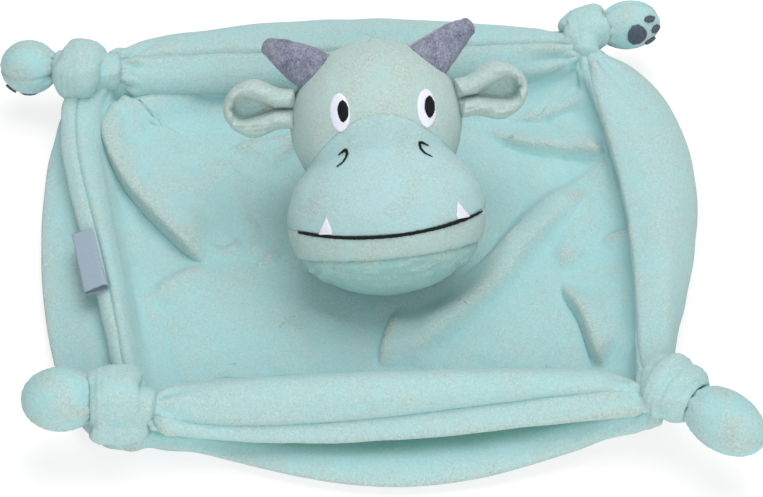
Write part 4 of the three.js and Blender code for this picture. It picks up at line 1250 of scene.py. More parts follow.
WRAPS = {
    "front_left": (
        Wrap(-0.8, 5, -5, 7.2, (12.2, 6.4), (0.6, 0.6)),
        Wrap(-2.4, 8, 6, 3.4, (12.6, 4.8), (-9.2, -8.2)),
    ),
    "front_right": (
        Wrap(1.4, -4, 4, 8.2, (7.4, 6.0)),
        Wrap(6.4, -2, 2, 6.2, (4.4, 5.2)),
        Wrap(-4.6, 3, 12, 9.0, (6.0, 6.2), (0.0, 0.3)),
        Wrap(-9.6, 10, 24, 7.6, (4.6, 5.2), (0.0, -0.6)),
    ),
    "back_right": (
        Wrap(1.4, 10, 14, 6.4, (11.6, 5.2), (0.0, 0.3)),
        Wrap(-6.0, -14, -16, 5.8, (5.2, 4.6)),
    ),
    "back_left": (
        Wrap(0.8, -6, 10, 9.6, (10.8, 7.1), (0.0, -0.8)),
        Wrap(-5.4, 16, -12, 5.8, (4.6, 4.6), (0.0, -0.8)),
    ),
}


@dataclass
class Knot:
    """A tied corner: a sleeve of cloth with wraps round it, fused into soft lobes with fine wrinkles."""

    toy: Toy
    corner: Corner
    seed: int
    core: float = 9.0
    tuck: float = 2.0
    voxel: float = 0.8
    soften: int = 4
    unevenness: Pair = (0.06, 0.04)
    twist: float = 0.035
    wrinkle: float = 0.2
    pleat: float = 0.16
    lump: float = 0.2
    nap_and_shade: float = 0.5
    crease_shade: float = 1.6
    deepest_crease_shade: float = -0.6
    clearance: float = 0.25
    bend_start: float = -7.0
    fullness: float = 0.93

    def sleeve(self, start: Array, end: Array) -> Skin:
        """Makes a rounded rod from one point to another."""
        axis = unit(end - start)
        side, rise = square_to(axis)
        length = np.linalg.norm(end - start)
        radius = self.core * self.corner.knot_size
        profile = [(-2.5, 0.35), (-1.5, 0.75), (0.0, 0.97), (0.3 * length, 1), (0.7 * length, 1),
                   (length, 0.97), (length + 1.5, 0.75), (length + 2.5, 0.35)]
        centres = np.array([start + axis * along for along, _ in profile])
        scale = np.array([share * radius for _, share in profile])[:, None, None]
        angles = around(28)[None, :, None]
        rings = centres[:, None] + np.cos(angles) * side * scale + np.sin(angles) * rise * scale
        return capped(rings, centres[0], centres[-1])

    def turn_of_cloth(self, wrap: Wrap) -> Skin:
        """Makes one wrap as a ring of oval section round the arm."""
        arm = self.corner.direction()
        level, _ = square_to(arm)
        axis = turn_about(arm, level, math.radians(wrap.lean))
        axis = turn_about(axis, UP, math.radians(wrap.level))
        side, rise = square_to(axis)
        centre = np.array(self.corner.knot, float) + arm * wrap.place
        centre = centre + side * wrap.aside[0] + rise * wrap.aside[1]
        round_angles = around(64)[:, None, None]
        oval_angles = around(28)[None, :, None]
        spoke = np.cos(round_angles) * side + np.sin(round_angles) * rise
        double, triple = self.unevenness
        uneven = 1 + double * np.sin(2 * round_angles + self.seed) + triple * np.sin(3 * round_angles)
        ways = np.cos(oval_angles), np.sin(oval_angles)
        out, over = (np.sign(way) * np.abs(way) ** self.fullness for way in ways)
        radial = wrap.ring + wrap.thick[1] * out * uneven
        points = centre + spoke * radial + axis * wrap.thick[0] * over * uneven
        rows, columns = points.shape[:2]
        faces = grid_faces(rows + 1, columns, True) % (rows * columns)
        return points.reshape(-1, 3), [faces]

    def clear_of_paw(self, points: Array) -> Array:
        """Moves points that are in the paw straight back towards the knot."""
        corner = self.corner
        arm = corner.direction()
        half, radius = corner.paw_half + self.clearance, corner.paw_radius + self.clearance
        offset = points - corner.paw_middle()
        run = offset @ arm
        aside = np.linalg.norm(offset - run[:, None] * arm, axis=1)
        face = -half * arch(aside / radius)
        limit = np.where(aside < radius, face, 1e3)
        return points + np.minimum(0.0, limit - run)[:, None] * arm

    def build(self) -> None:
        """Adds the knot."""
        corner = self.corner
        arm = corner.direction()
        gather, middle = np.array(corner.gather, float), np.array(corner.knot, float)
        inward = unit(gather - middle)
        start = gather + inward * self.tuck
        parts = [self.sleeve(start, middle), self.sleeve(middle, corner.neck_point())]
        parts += [self.turn_of_cloth(wrap) for wrap in WRAPS[corner.name]]
        name = f"knot_{corner.name}_cloth"
        mesh = fused(name, parts, self.voxel, self.soften)
        points, normals = mesh_points(mesh), mesh_normals(mesh)
        offset = points - middle
        along = offset @ arm
        spoke = unit(offset - along[:, None] * arm)
        twist = turn_about(spoke, arm, along * self.twist)
        height = self.wrinkle * Ripple(60 + self.seed, 0.5).at(twist)
        lines = np.stack([along, along * 0, along * 0], -1) + twist * 1.2
        height += self.pleat * Ripple(70 + self.seed, 2.2).at(lines)
        height += self.lump * Ripple(80 + self.seed, 9.0).at(points)
        points = self.clear_of_paw(points + normals * height[:, None])
        move_points(mesh, points)
        # painted shade: a deeper colour in the creases between the lobes; wrinkle crests a little paler
        hollow = np.minimum(0.0, standing_out(mesh, 16) + 0.12)
        nap_and_shade = self.nap_and_shade + 0.05 * height / self.wrinkle + self.crease_shade * hollow
        set_nap_and_shade(mesh, np.maximum(nap_and_shade, self.deepest_crease_shade))
        obj = self.toy.add(name, mesh, Finish.BLANKET, f"knot_{corner.name}", None)
        pivot = corner.paw_pivot()
        start = pivot + arm * self.bend_start
        tuple(start * MM)
        tuple(pivot * MM)
        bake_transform(obj)


@dataclass
class Paw:
    """A stuffed paw: a cover with a seam round it, gathered at the neck, and its embroidered pads."""

    toy: Toy
    corner: Corner
    seed: int
    seam_lift: float = 0.0
    rings: int = 92
    steps: int = 132
    seam_dip: float = 0.9
    seam_width: float = 0.9
    puff: float = 0.25
    puff_width: float = 5.0
    gathers: float = 0.7
    nap_and_shade: float = 0.45
    patch: float = 12.0
    sole_pad: Pair = (6.2, 5.1)
    sole_drop: float = 3.0
    toe_pad: Pair = (2.4, 3.9)
    toe_reach: float = 10.6
    toe_drop: float = 1.0
    stitches: tuple[int, int] = (22, 17)
    toes: tuple[float, ...] = (-42.0, 0.0, 42.0)

    def __post_init__(self) -> None:
        """Works out the paw's own axes: along the arm, out of the sole, and across."""
        self.arm = self.corner.direction()
        forward = unit(np.array(self.corner.sole, float))
        self.forward = forward
        self.tipward = unit(self.arm - forward * (self.arm @ forward))
        self.sideways = unit(np.cross(self.tipward, forward))
        self.sole = unit(forward - self.arm * (forward @ self.arm))
        self.beside = np.cross(self.arm, self.sole)

    def surface(self, directions: Array, lift: float | Array = 0.0) -> Array:
        """Gives the points of the cover in directions from the paw's middle."""
        along = directions @ self.arm
        reach = 1 / np.hypot(along / self.corner.paw_half, arch(along) / self.corner.paw_radius)
        return self.corner.paw_middle() + directions * (reach + lift)[..., None]

    def relief(self, directions: Array) -> Array:
        """Gives how far the cloth stands off its plain form in each direction."""
        along = directions @ self.arm
        from_seam = (directions @ self.sole - self.seam_lift) * self.corner.paw_radius
        seam, puff = (bell(from_seam, width) for width in (self.seam_width, self.puff_width))
        neck = smoothstep(-along, 0.55, 0.98)
        spoke = unit(directions - along[..., None] * self.arm)
        gathers = Ripple(90 + self.seed, 0.5).at(spoke)
        tip = smoothstep(along, 0.3, 0.95)
        fine = Ripple(95 + self.seed, 0.12).at(directions)
        seam_pucker = Ripple(97 + self.seed, 0.16).at(directions) * puff
        return (-self.seam_dip * seam + self.puff * puff + self.gathers * neck * gathers
                - 0.3 * tip * seam + 0.07 * fine + 0.1 * seam_pucker)

    def cover(self) -> None:
        """Adds the cover, gathered round the neck."""
        corner = self.corner
        first = math.asin(min(1.0, PAW_OPENING / corner.paw_radius)) * 0.8
        angles = (first + (math.pi - 0.02 - first) * np.linspace(0, 1, self.rings))[:, None, None]
        turns = around(self.steps)[:, None]
        spoke = np.cos(turns) * self.beside + np.sin(turns) * self.sole
        directions = -np.cos(angles) * self.arm + np.sin(angles) * spoke[None]
        neck = self.surface(-self.arm[None])[0] + self.arm * 0.6
        tip = self.surface(self.arm[None])[0] - self.arm * 0.05
        points, faces = capped(self.surface(directions, self.relief(directions)), neck, tip)
        body = f"paw_{corner.name}"
        mesh = make_mesh(f"{body}_plush", points, faces, True)
        set_nap_and_shade(mesh, self.nap_and_shade + 0.3 * Ripple(99 + self.seed, self.patch).at(points))
        self.toy.add(f"{body}_plush", mesh, Finish.BLANKET, f"{body}_cover", body)

    def pad(self, name: str, x: float, z: float, half: Pair, points: int) -> None:
        """Adds an embroidered pad, of satin stitches across it.

        Args:
            name: the pad's name on its paw.
            x: its place across the sole.
            z: its place along the sole.
            half: its half width and half height.
            points: number of stitches.
        """
        rows = points * 4 + 1
        columns = 18
        rise = np.linspace(-0.995, 0.995, rows)
        side = np.linspace(-1, 1, columns)
        width = np.sqrt(1 - rise ** 2) * (1 + 0.07 * Ripple(7 + self.seed, 0.3).at(
            np.stack([rise, rise * 0, rise * 0 + x], -1)))
        px = x + half[0] * width[:, None] * side[None]
        pz = z + half[1] * rise[:, None] + 0 * side[None]
        ridge = np.abs(np.sin(math.pi * points * (rise + 1) / 2))[:, None]
        crown = np.sqrt(np.maximum(0, 1 - side ** 4))[None]
        thick = 0.25 + (0.55 + 0.22 * ridge) * crown
        flat = (self.forward * self.corner.paw_radius + px[..., None] * self.sideways
                + pz[..., None] * self.tipward)
        directions = unit(flat)
        low = self.surface(directions, np.full(directions.shape[:2], 0.1))
        top = self.surface(directions, 0.3 + thick)
        body = f"paw_{self.corner.name}"
        mesh = make_mesh(f"{body}_{name}_stitching", *slab(top, low, False), True)
        self.toy.add(f"{body}_{name}_stitching", mesh, Finish.PAD, f"{body}_{name}", body)

    def build(self) -> None:
        """Adds the cover and the pads."""
        self.cover()
        self.pad("sole_pad", 0.0, -self.sole_drop, self.sole_pad, self.stitches[0])
        for number, angle in enumerate(self.toes, start=1):
            turn = math.radians(angle)
            x, z = self.toe_reach * math.sin(turn), self.toe_reach * math.cos(turn) - self.toe_drop
            self.pad(f"toe_pad_{number}", x, z, self.toe_pad, self.stitches[1])


# Head


@dataclass(frozen=True)
class Form:
    """A ball of the head: its centre and its radii."""

    centre: Triple
    radii: Triple


@dataclass(frozen=True)
class Seam:
    """A seam of the face: its height at the middle, and its rise at a half width."""

    middle: float
    rise: float
    half: float

    def height(self, x: Array | float) -> Array | float:
        """Gives the seam's height at a place across the face."""
        return self.middle + self.rise * (x / self.half) ** 2


@dataclass
class HeadShape:
    """The head's form, in its own axes, and its place on the toy."""

    forms: tuple[Form, ...] = (
        Form((0, 10, 21.5), (40.5, 40, 38.5)),
        Form((0, -10, -21.5), (46.5, 34, 36.8)),
        Form((0, 22, 4), (34, 30, 32)),
    )
    blend: float = 14.0
    side_seam: float = 5.0
    crown_seam: Seam = Seam(27, -26, 37)
    mouth_seam: Seam = Seam(-27.6, 4.8, 43)
    chin_seam: Seam = Seam(-39.2, 1.2, 35)
    x_axis: Triple = (0.99458, 0.09014, 0.05184)
    y_axis: Triple = (-0.03242, 0.74244, -0.66913)
    z_axis: Triple = (-0.09881, 0.66382, 0.74133)
    place: Triple = (0.0, 14.0, 49.1086)

    def reach(self, directions: Array) -> Array:
        """Gives how far the head's surface is from its middle in each direction."""
        total = np.zeros(directions.shape[:-1])
        for form in self.forms:
            radii = np.array(form.radii, float)
            d = directions / radii
            c = np.array(form.centre, float) / radii
            a = (d * d).sum(-1)
            b = d @ c
            root = b * b - a * (c @ c - 1)
            distance = (b + np.sqrt(np.maximum(root, 0))) / a
            total += np.where(root > 0, np.maximum(distance, 0), 0) ** self.blend
        return total ** (1 / self.blend)

    def to_toy(self, points: Array) -> Array:
        """Moves points from the head's own axes to the toy's."""
        axes = np.array([self.x_axis, self.y_axis, self.z_axis])
        return points @ axes + np.array(self.place)

    def face(self, x: Array, z: Array, lift: Array | float) -> Array:
        """Gives the points of the face at places seen from the front, lifted off it."""
        near, far = np.zeros(np.shape(x)), np.full(np.shape(x), 100.0)
        for _ in range(44):
            depth = (near + far) / 2
            point = np.stack([x, -depth, z], -1)
            length = np.linalg.norm(point, axis=-1)
            inside = length < self.reach(unit(point)) + lift
            near = np.where(inside, depth, near)
            far = np.where(inside, far, depth)
        return np.stack([x, -near, z], -1)

    def seam_distance(self, points: Array) -> dict[str, Array]:
        """Gives each point's signed distance to each seam, positive above, behind or to the right."""
        x, y, z = points[..., 0], points[..., 1], points[..., 2]
        return {
            "side": y - self.side_seam,
            "back": x,
            "crown": z - self.crown_seam.height(x),
            "mouth": z - self.mouth_seam.height(x),
            "chin": z - self.chin_seam.height(x),
        }


class Panel(Enum):
    """The head cover's panels, with the finish of each."""

    CROWN = ("head_crown_panel", Finish.CROWN)
    MUZZLE = ("head_muzzle_panel", Finish.MUZZLE)
    CHIN = ("head_chin_band", Finish.CROWN)
    JAW = ("head_jaw_panel", Finish.JAW)
    BACK_LEFT = ("head_back_left_panel", Finish.CROWN)
    BACK_RIGHT = ("head_back_right_panel", Finish.CROWN)


@dataclass
class HeadCover:
    """The six panels of the head's cover, cut from one fine form along its seams."""

    toy: Toy
    shape: HeadShape
    groove: float = 0.8
    groove_width: float = 1.0
    wall: float = 1.6
    levels: int = 7
    puff: float = 0.22
    puff_place: float = 3.4
    puff_width: float = 2.4
    pucker: float = 0.16
    pucker_size: float = 5.5
    pucker_reach: float = 4.0
    wrinkle: float = 0.75
    stitch: float = 0.5
    stitch_turn: float = 2.1
    nap_and_shade: float = 0.42

    def ball(self) -> tuple[Array, Array]:
        """Gives the directions and triangles of an even ball."""
        bm = bmesh.new()
        bmesh.ops.create_icosphere(bm, subdivisions=self.levels, radius=1.0)
        directions = np.array([v.co[:] for v in bm.verts])
        triangles = np.array([[v.index for v in f.verts] for f in bm.faces])
        bm.free()
        return unit(directions), triangles

    def snap(self, points: Array, triangles: Array) -> Array:
        """Moves the points next to each seam onto it, along the surface."""
        edges = np.unique(np.sort(triangle_edges(triangles), axis=1), axis=0)
        taken = np.zeros(len(points), bool)
        for name in ("side", "back", "crown", "mouth", "chin"):
            distance = self.shape.seam_distance(points)
            values = distance[name]
            front = distance["side"]
            region = front > -1e-6 if name == "back" else front < 1e-6
            if name == "side":
                region = np.ones(len(points), bool)
            a, b = edges[:, 0], edges[:, 1]
            cross = (values[a] * values[b] < 0) & region[a] & region[b]
            a, b = a[cross], b[cross]
            share = values[a] / (values[a] - values[b])
            target = lerp(points[a], points[b], share[:, None])
            mover = np.where(share < 0.5, a, b)
            amount = np.minimum(share, 1 - share)
            order = np.argsort(-amount)
            chosen, where = mover[order], target[order]
            free = ~taken[chosen]
            chosen, where = chosen[free], where[free]
            points[chosen] = where
            taken[chosen] = True
            if name != "side":
                taken[:] = taken | (np.abs(self.shape.seam_distance(points)[name]) < 1e-3) & region
        return points

    def relief(self, points: Array) -> Array:
        """Gives how far the cloth stands off the plain form: seams sink in, and it puckers beside them."""
        distance = self.shape.seam_distance(points)
        front = smoothstep(-distance["side"], 0.0, 1.5)
        back = 1 - smoothstep(-distance["side"], -1.5, 0.0)
        depths = (("side", 0.9, 1.0), ("back", 1.0, back), ("crown", 0.25, front), ("chin", 1.0, front),
                  ("mouth", 0.5, front))
        total = np.zeros(len(points))
        for seed, (name, share, region) in enumerate(depths):
            gap = distance[name]
            total -= self.groove * share * region * bell(gap, self.groove_width)
            puff = bell(np.abs(gap) - self.puff_place, self.puff_width)
            total += self.puff * share * region * puff
            pucker = Ripple(110 + seed, self.pucker_size).at(points) * bell(gap, self.pucker_reach)
            total += self.pucker * share * region * pucker
        total += 0.22 * Ripple(120, 26.0).at(points) + 0.1 * Ripple(121, 9.0).at(points)
        jaw = smoothstep(-distance["chin"], 0.5, 3.0) * smoothstep(distance["chin"], -16.0, -5.0)
        wrinkles = Ripple(122, 6.0).at(points * np.array([0.45, 1.0, 1.3]))
        stitches = np.abs(np.sin(points[:, 0] * self.stitch_turn)) * bell(distance["chin"], 0.9)
        return total + (self.wrinkle * jaw * wrinkles - self.stitch * stitches) * front

    def labels(self, centres: Array) -> Array:
        """Gives the number of the panel that each face belongs to."""
        distance = self.shape.seam_distance(centres)
        front = np.where(distance["crown"] > 0, 0,
                         np.where(distance["mouth"] > 0, 1, np.where(distance["chin"] > 0, 2, 3)))
        return np.where(distance["side"] > 0, np.where(distance["back"] < 0, 4, 5), front)

    def build(self) -> None:
        """Adds the panels."""
        directions, triangles = self.ball()
        points = directions * self.shape.reach(directions)[:, None]
        points = self.snap(points, triangles)
        labels = self.labels(points[triangles].mean(axis=1))
        directions = unit(points)
        outer = points + directions * self.relief(points)[:, None]
        inner = points - directions * self.wall
        for number, panel in enumerate(Panel):
            node, finish = panel.value
            own = triangles[labels == number]
            used, flat = np.unique(own, return_inverse=True)
            own = flat.reshape(own.shape)
            count = len(used)
            edges = triangle_edges(own)
            key = edges[:, 0] * count + edges[:, 1]
            back = edges[:, 1] * count + edges[:, 0]
            rim = edges[~np.isin(key, back)]
            wall = np.stack([rim[:, 1], rim[:, 0], rim[:, 0] + count, rim[:, 1] + count], -1)
            shell = np.concatenate([outer[used], inner[used]])
            mesh = make_mesh(f"{node}_plush", self.shape.to_toy(shell), [own, own[:, ::-1] + count, wall])
            nap_and_shade = self.nap_and_shade + 0.25 * Ripple(130, 16.0).at(outer[used])
            set_nap_and_shade(mesh, np.concatenate([nap_and_shade, nap_and_shade]))
            self.toy.add(f"{node}_plush", mesh, finish, node, "head")


@dataclass
class Stitching:
    """The face's embroidery: satin stitches laid on the cover."""

    toy: Toy
    shape: HeadShape
    eyes: tuple[tuple[str, float, float], ...] = (("left", -17.0, 7.89), ("right", 22.8, 10.09))
    white: Pair = (4.5, 8.6)
    pupil: Pair = (2.6, 4.9)
    shift: Pair = (1.4, 0.5)
    mouth: Pair = (-41.6, 44.0)
    teeth: tuple[tuple[str, float, float], ...] = (("left", -29.4, 1.4), ("right", 34.4, -2.2))
    tooth_half: float = 3.1
    tooth_height: float = 8.0
    hook: tuple[Pair, ...] = ((20.9, 5.2), (17.6, 7.3), (15.8, 9.9), (16, 12), (19.8, 10.1))
    hook_shift: float = 1.1
    slant: float = 0.25
    pitch: float = 0.42
    thick: float = 0.55

    def satin(self, node: str, starts: Array, ends: Array, finish: Finish, low: float) -> None:
        """Adds a patch of stitches side by side.

        Args:
            node: the node that it stands for.
            starts: x and z on the face of each stitch's start, four samples to a stitch.
            ends: x and z of each stitch's end.
            finish: the thread.
            low: how far off the cover the patch starts.
        """
        columns = 12
        share = np.linspace(0, 1, columns)[None, :, None]
        flat = lerp(starts[:, None], ends[:, None], share)
        ridge = np.abs(np.sin(math.pi * np.arange(len(starts)) / 4))[:, None]
        across = np.linspace(-1, 1, columns)[None]
        crown = np.sqrt(np.maximum(0.0, 1 - across ** 4))
        lift = low + (self.thick * (0.62 + 0.38 * ridge)) * (0.12 + 0.88 * crown)
        top = self.shape.face(flat[..., 0], flat[..., 1], lift)
        under = self.shape.face(flat[..., 0], flat[..., 1], low - 0.45)
        points, faces = slab(top, under, False)
        mesh = make_mesh(f"{node}_stitching", self.shape.to_toy(points), faces)
        self.toy.add(f"{node}_stitching", mesh, finish, node, "head")

    def ragged(self, count: int, seed: int, amount: float) -> Array:
        """Gives a small uneven length to each stitch, the same over its four samples."""
        draw = np.random.default_rng(seed)
        return np.repeat(draw.uniform(-amount, amount, count // 4 + 1), 4)[:count]

    def oval(self, node: str, centre: Pair, half: Pair, finish: Finish,
             low: float, seed: int) -> None:
        """Adds an oval of level stitches."""
        count = int(2 * half[1] / self.pitch) * 4 + 1
        rise = np.linspace(-0.998, 0.998, count)
        width = half[0] * np.sqrt(1 - rise ** 2)
        ragged = [self.ragged(count, seed + k, 0.12) for k in (0, 1)]
        z = centre[1] + half[1] * rise
        starts = np.stack([centre[0] - width - ragged[0], z - self.slant], -1)
        ends = np.stack([centre[0] + width + ragged[1], z + self.slant], -1)
        self.satin(node, starts, ends, finish, low)

    def strip(self, node: str, line: Array, widths: Array, seed: int) -> None:
        """Adds a line of stitches across it, with ragged edges."""
        lengths = np.linalg.norm(np.diff(line, axis=0), axis=1)
        run = np.concatenate([[0.0], np.cumsum(lengths)])
        count = int(run[-1] / self.pitch) * 4 + 1
        places = np.linspace(0, run[-1], count)
        path = np.stack([np.interp(places, run, line[:, k]) for k in (0, 1)], -1)
        width = np.interp(places, run, widths) / 2
        lean = unit(np.gradient(path, axis=0))
        normal = np.stack([-lean[:, 1], lean[:, 0]], -1)
        sides = [(width + self.ragged(count, seed + k, 0.14))[:, None] * normal for k in (0, 1)]
        self.satin(node, path - sides[0], path + sides[1], Finish.BLACK, 0.15)

    def build(self) -> None:
        """Adds the eyes, nostrils, mouth and teeth."""
        for seed, (side, x, above) in enumerate(self.eyes):
            z = self.shape.crown_seam.height(x) + above
            self.oval(f"eye_white_{side}", (x, z), self.white, Finish.WHITE, 0.2, 10 * seed)
            centre = (x + self.shift[0], z + self.shift[1])
            self.oval(f"pupil_{side}", centre, self.pupil, Finish.BLACK, 0.5, 10 * seed + 5)
        hook = np.array([(x, 0, z) for x, z in self.hook])
        run = np.linspace(0, 1, 60)
        widths = np.interp(run, [0, 0.3, 0.68, 0.8, 1], [0.35, 0.8, 1.5, 1.5, 0.4])
        for seed, (side, sign) in enumerate(SIGNS.items()):
            line = catmull_rom(hook, run)[:, [0, 2]] * np.array([sign, 1])
            line[:, 0] += self.hook_shift + self.hook_shift * sign
            self.strip(f"nostril_{side}", line, widths, 40 + 5 * seed)
        start, end = self.mouth
        x = np.linspace(start, end, 160)
        line = np.stack([x, self.shape.mouth_seam.height(x)], -1)
        widths = np.interp(x, [start, -39, -30, 30, 38, end], [1.0, 1.5, 1.6, 1.6, 1.3, 0.6])
        self.strip("mouth_line", line, widths, 50)
        for seed, (side, at, lean) in enumerate(self.teeth):
            self.tooth(side, at, lean, 60 + 5 * seed)

    def tooth(self, side: str, at: float, lean: float, seed: int) -> None:
        """Adds a pointed tooth of level stitches that stands on the mouth, with its tip to one side."""
        count = int(self.tooth_height / self.pitch) * 4 + 1
        rise = np.linspace(0, 0.995, count)
        half = self.tooth_half * np.interp(rise, [0, 0.15, 0.36, 0.75, 1], [1, 0.94, 0.72, 0.3, 0.02])
        ragged = self.ragged(count, seed, 0.08)
        middle = at + lean * rise ** 0.8
        ends = []
        for sign in (-1, 1):
            x = middle + sign * (half + ragged)
            base = self.shape.mouth_seam.height(at) + 0.9
            ends.append(np.stack([x, base + self.tooth_height * rise], -1))
        self.satin(f"tooth_{side}", ends[0], ends[1], Finish.WHITE, 0.2)


@dataclass
class Horn:
    """A blunt, lightly stuffed horn with a seam up its middle."""

    toy: Toy
    shape: HeadShape
    side: str
    base: Triple = (25.5, 5, 47)
    bend: Triple = (37, 7, 56)
    tip: Triple = (46.5, 9, 61.5)
    radii: tuple[float, ...] = (10.6, 9.7, 8.3, 6.6, 4.4)
    flatness: float = 0.85
    sunk: float = 0.42
    sunk_depth: float = 28.0
    bluntness: float = 0.78
    seam_ridge: float = 0.3
    seam_turn: float = 0.25
    seam_width: float = 0.07
    dents: float = 0.3
    dent_size: float = 17.0
    rows: int = 84
    steps: int = 88

    def build(self) -> None:
        """Adds the horn."""
        sign = SIGNS[self.side]
        a, b, c = np.array([self.base, self.bend, self.tip], float) * np.array([sign, 1, 1])
        start = unit(b - a)
        run = np.linspace(-self.sunk, 1.0, self.rows)
        inside = run < 0
        share = np.clip(run, 0, 1)[:, None]
        line = (1 - share) ** 2 * a + 2 * share * (1 - share) * b + share ** 2 * c
        line = line + np.where(inside[:, None], run[:, None] * self.sunk_depth * start, 0)
        tangent = unit(2 * (1 - share) * (b - a) + 2 * share * (c - b))
        radius = np.interp(share[:, 0], np.linspace(0, 1, len(self.radii)), self.radii)
        cap_angles = np.linspace(0, math.pi / 2, 16)[1:]
        end, last = line[-1], tangent[-1]
        blunt = radius[-1]
        cap = np.array([end + last * blunt * self.bluntness * math.sin(angle) for angle in cap_angles])
        line = np.concatenate([line, cap])
        tangent = np.concatenate([tangent, np.repeat(last[None], len(cap), 0)])
        radius = np.concatenate([radius, blunt * np.cos(cap_angles) + 0.02])
        across = unit(np.cross(tangent, np.array([0.0, 1.0, 0.0])))
        upward = unit(np.cross(tangent, across))
        turns = around(self.steps)
        spoke = (np.cos(turns)[None, :, None] * across[:, None]
                 + self.flatness * np.sin(turns)[None, :, None] * upward[:, None])
        plain = line[:, None] + spoke * radius[:, None, None]
        seam = bell(np.sin(turns - self.seam_turn), self.seam_width)[None, :]
        relief = self.seam_ridge * seam * np.minimum(1, radius / 3)[:, None]
        relief = relief + 0.1 * Ripple(141, 5.0).at(plain) + 0.06 * Ripple(142, 1.6).at(plain)
        dents = self.dents * Ripple(143 + sign, self.dent_size).at(plain)
        relief = relief + dents * np.minimum(1, radius / 5)[:, None]
        skin = plain + unit(spoke) * relief[..., None]
        points, faces = capped(skin, line[0], line[-1] + last * 0.05)
        name = f"horn_{self.side}_pile"
        mesh = make_mesh(name, self.shape.to_toy(points), faces, True)
        worn = np.concatenate([(seam * np.minimum(1, radius / 5)[:, None]).ravel(), [0.0, 0.0]])
        set_nap_and_shade(mesh, worn)
        self.toy.add(name, mesh, Finish.HORN, f"horn_{self.side}", "head")


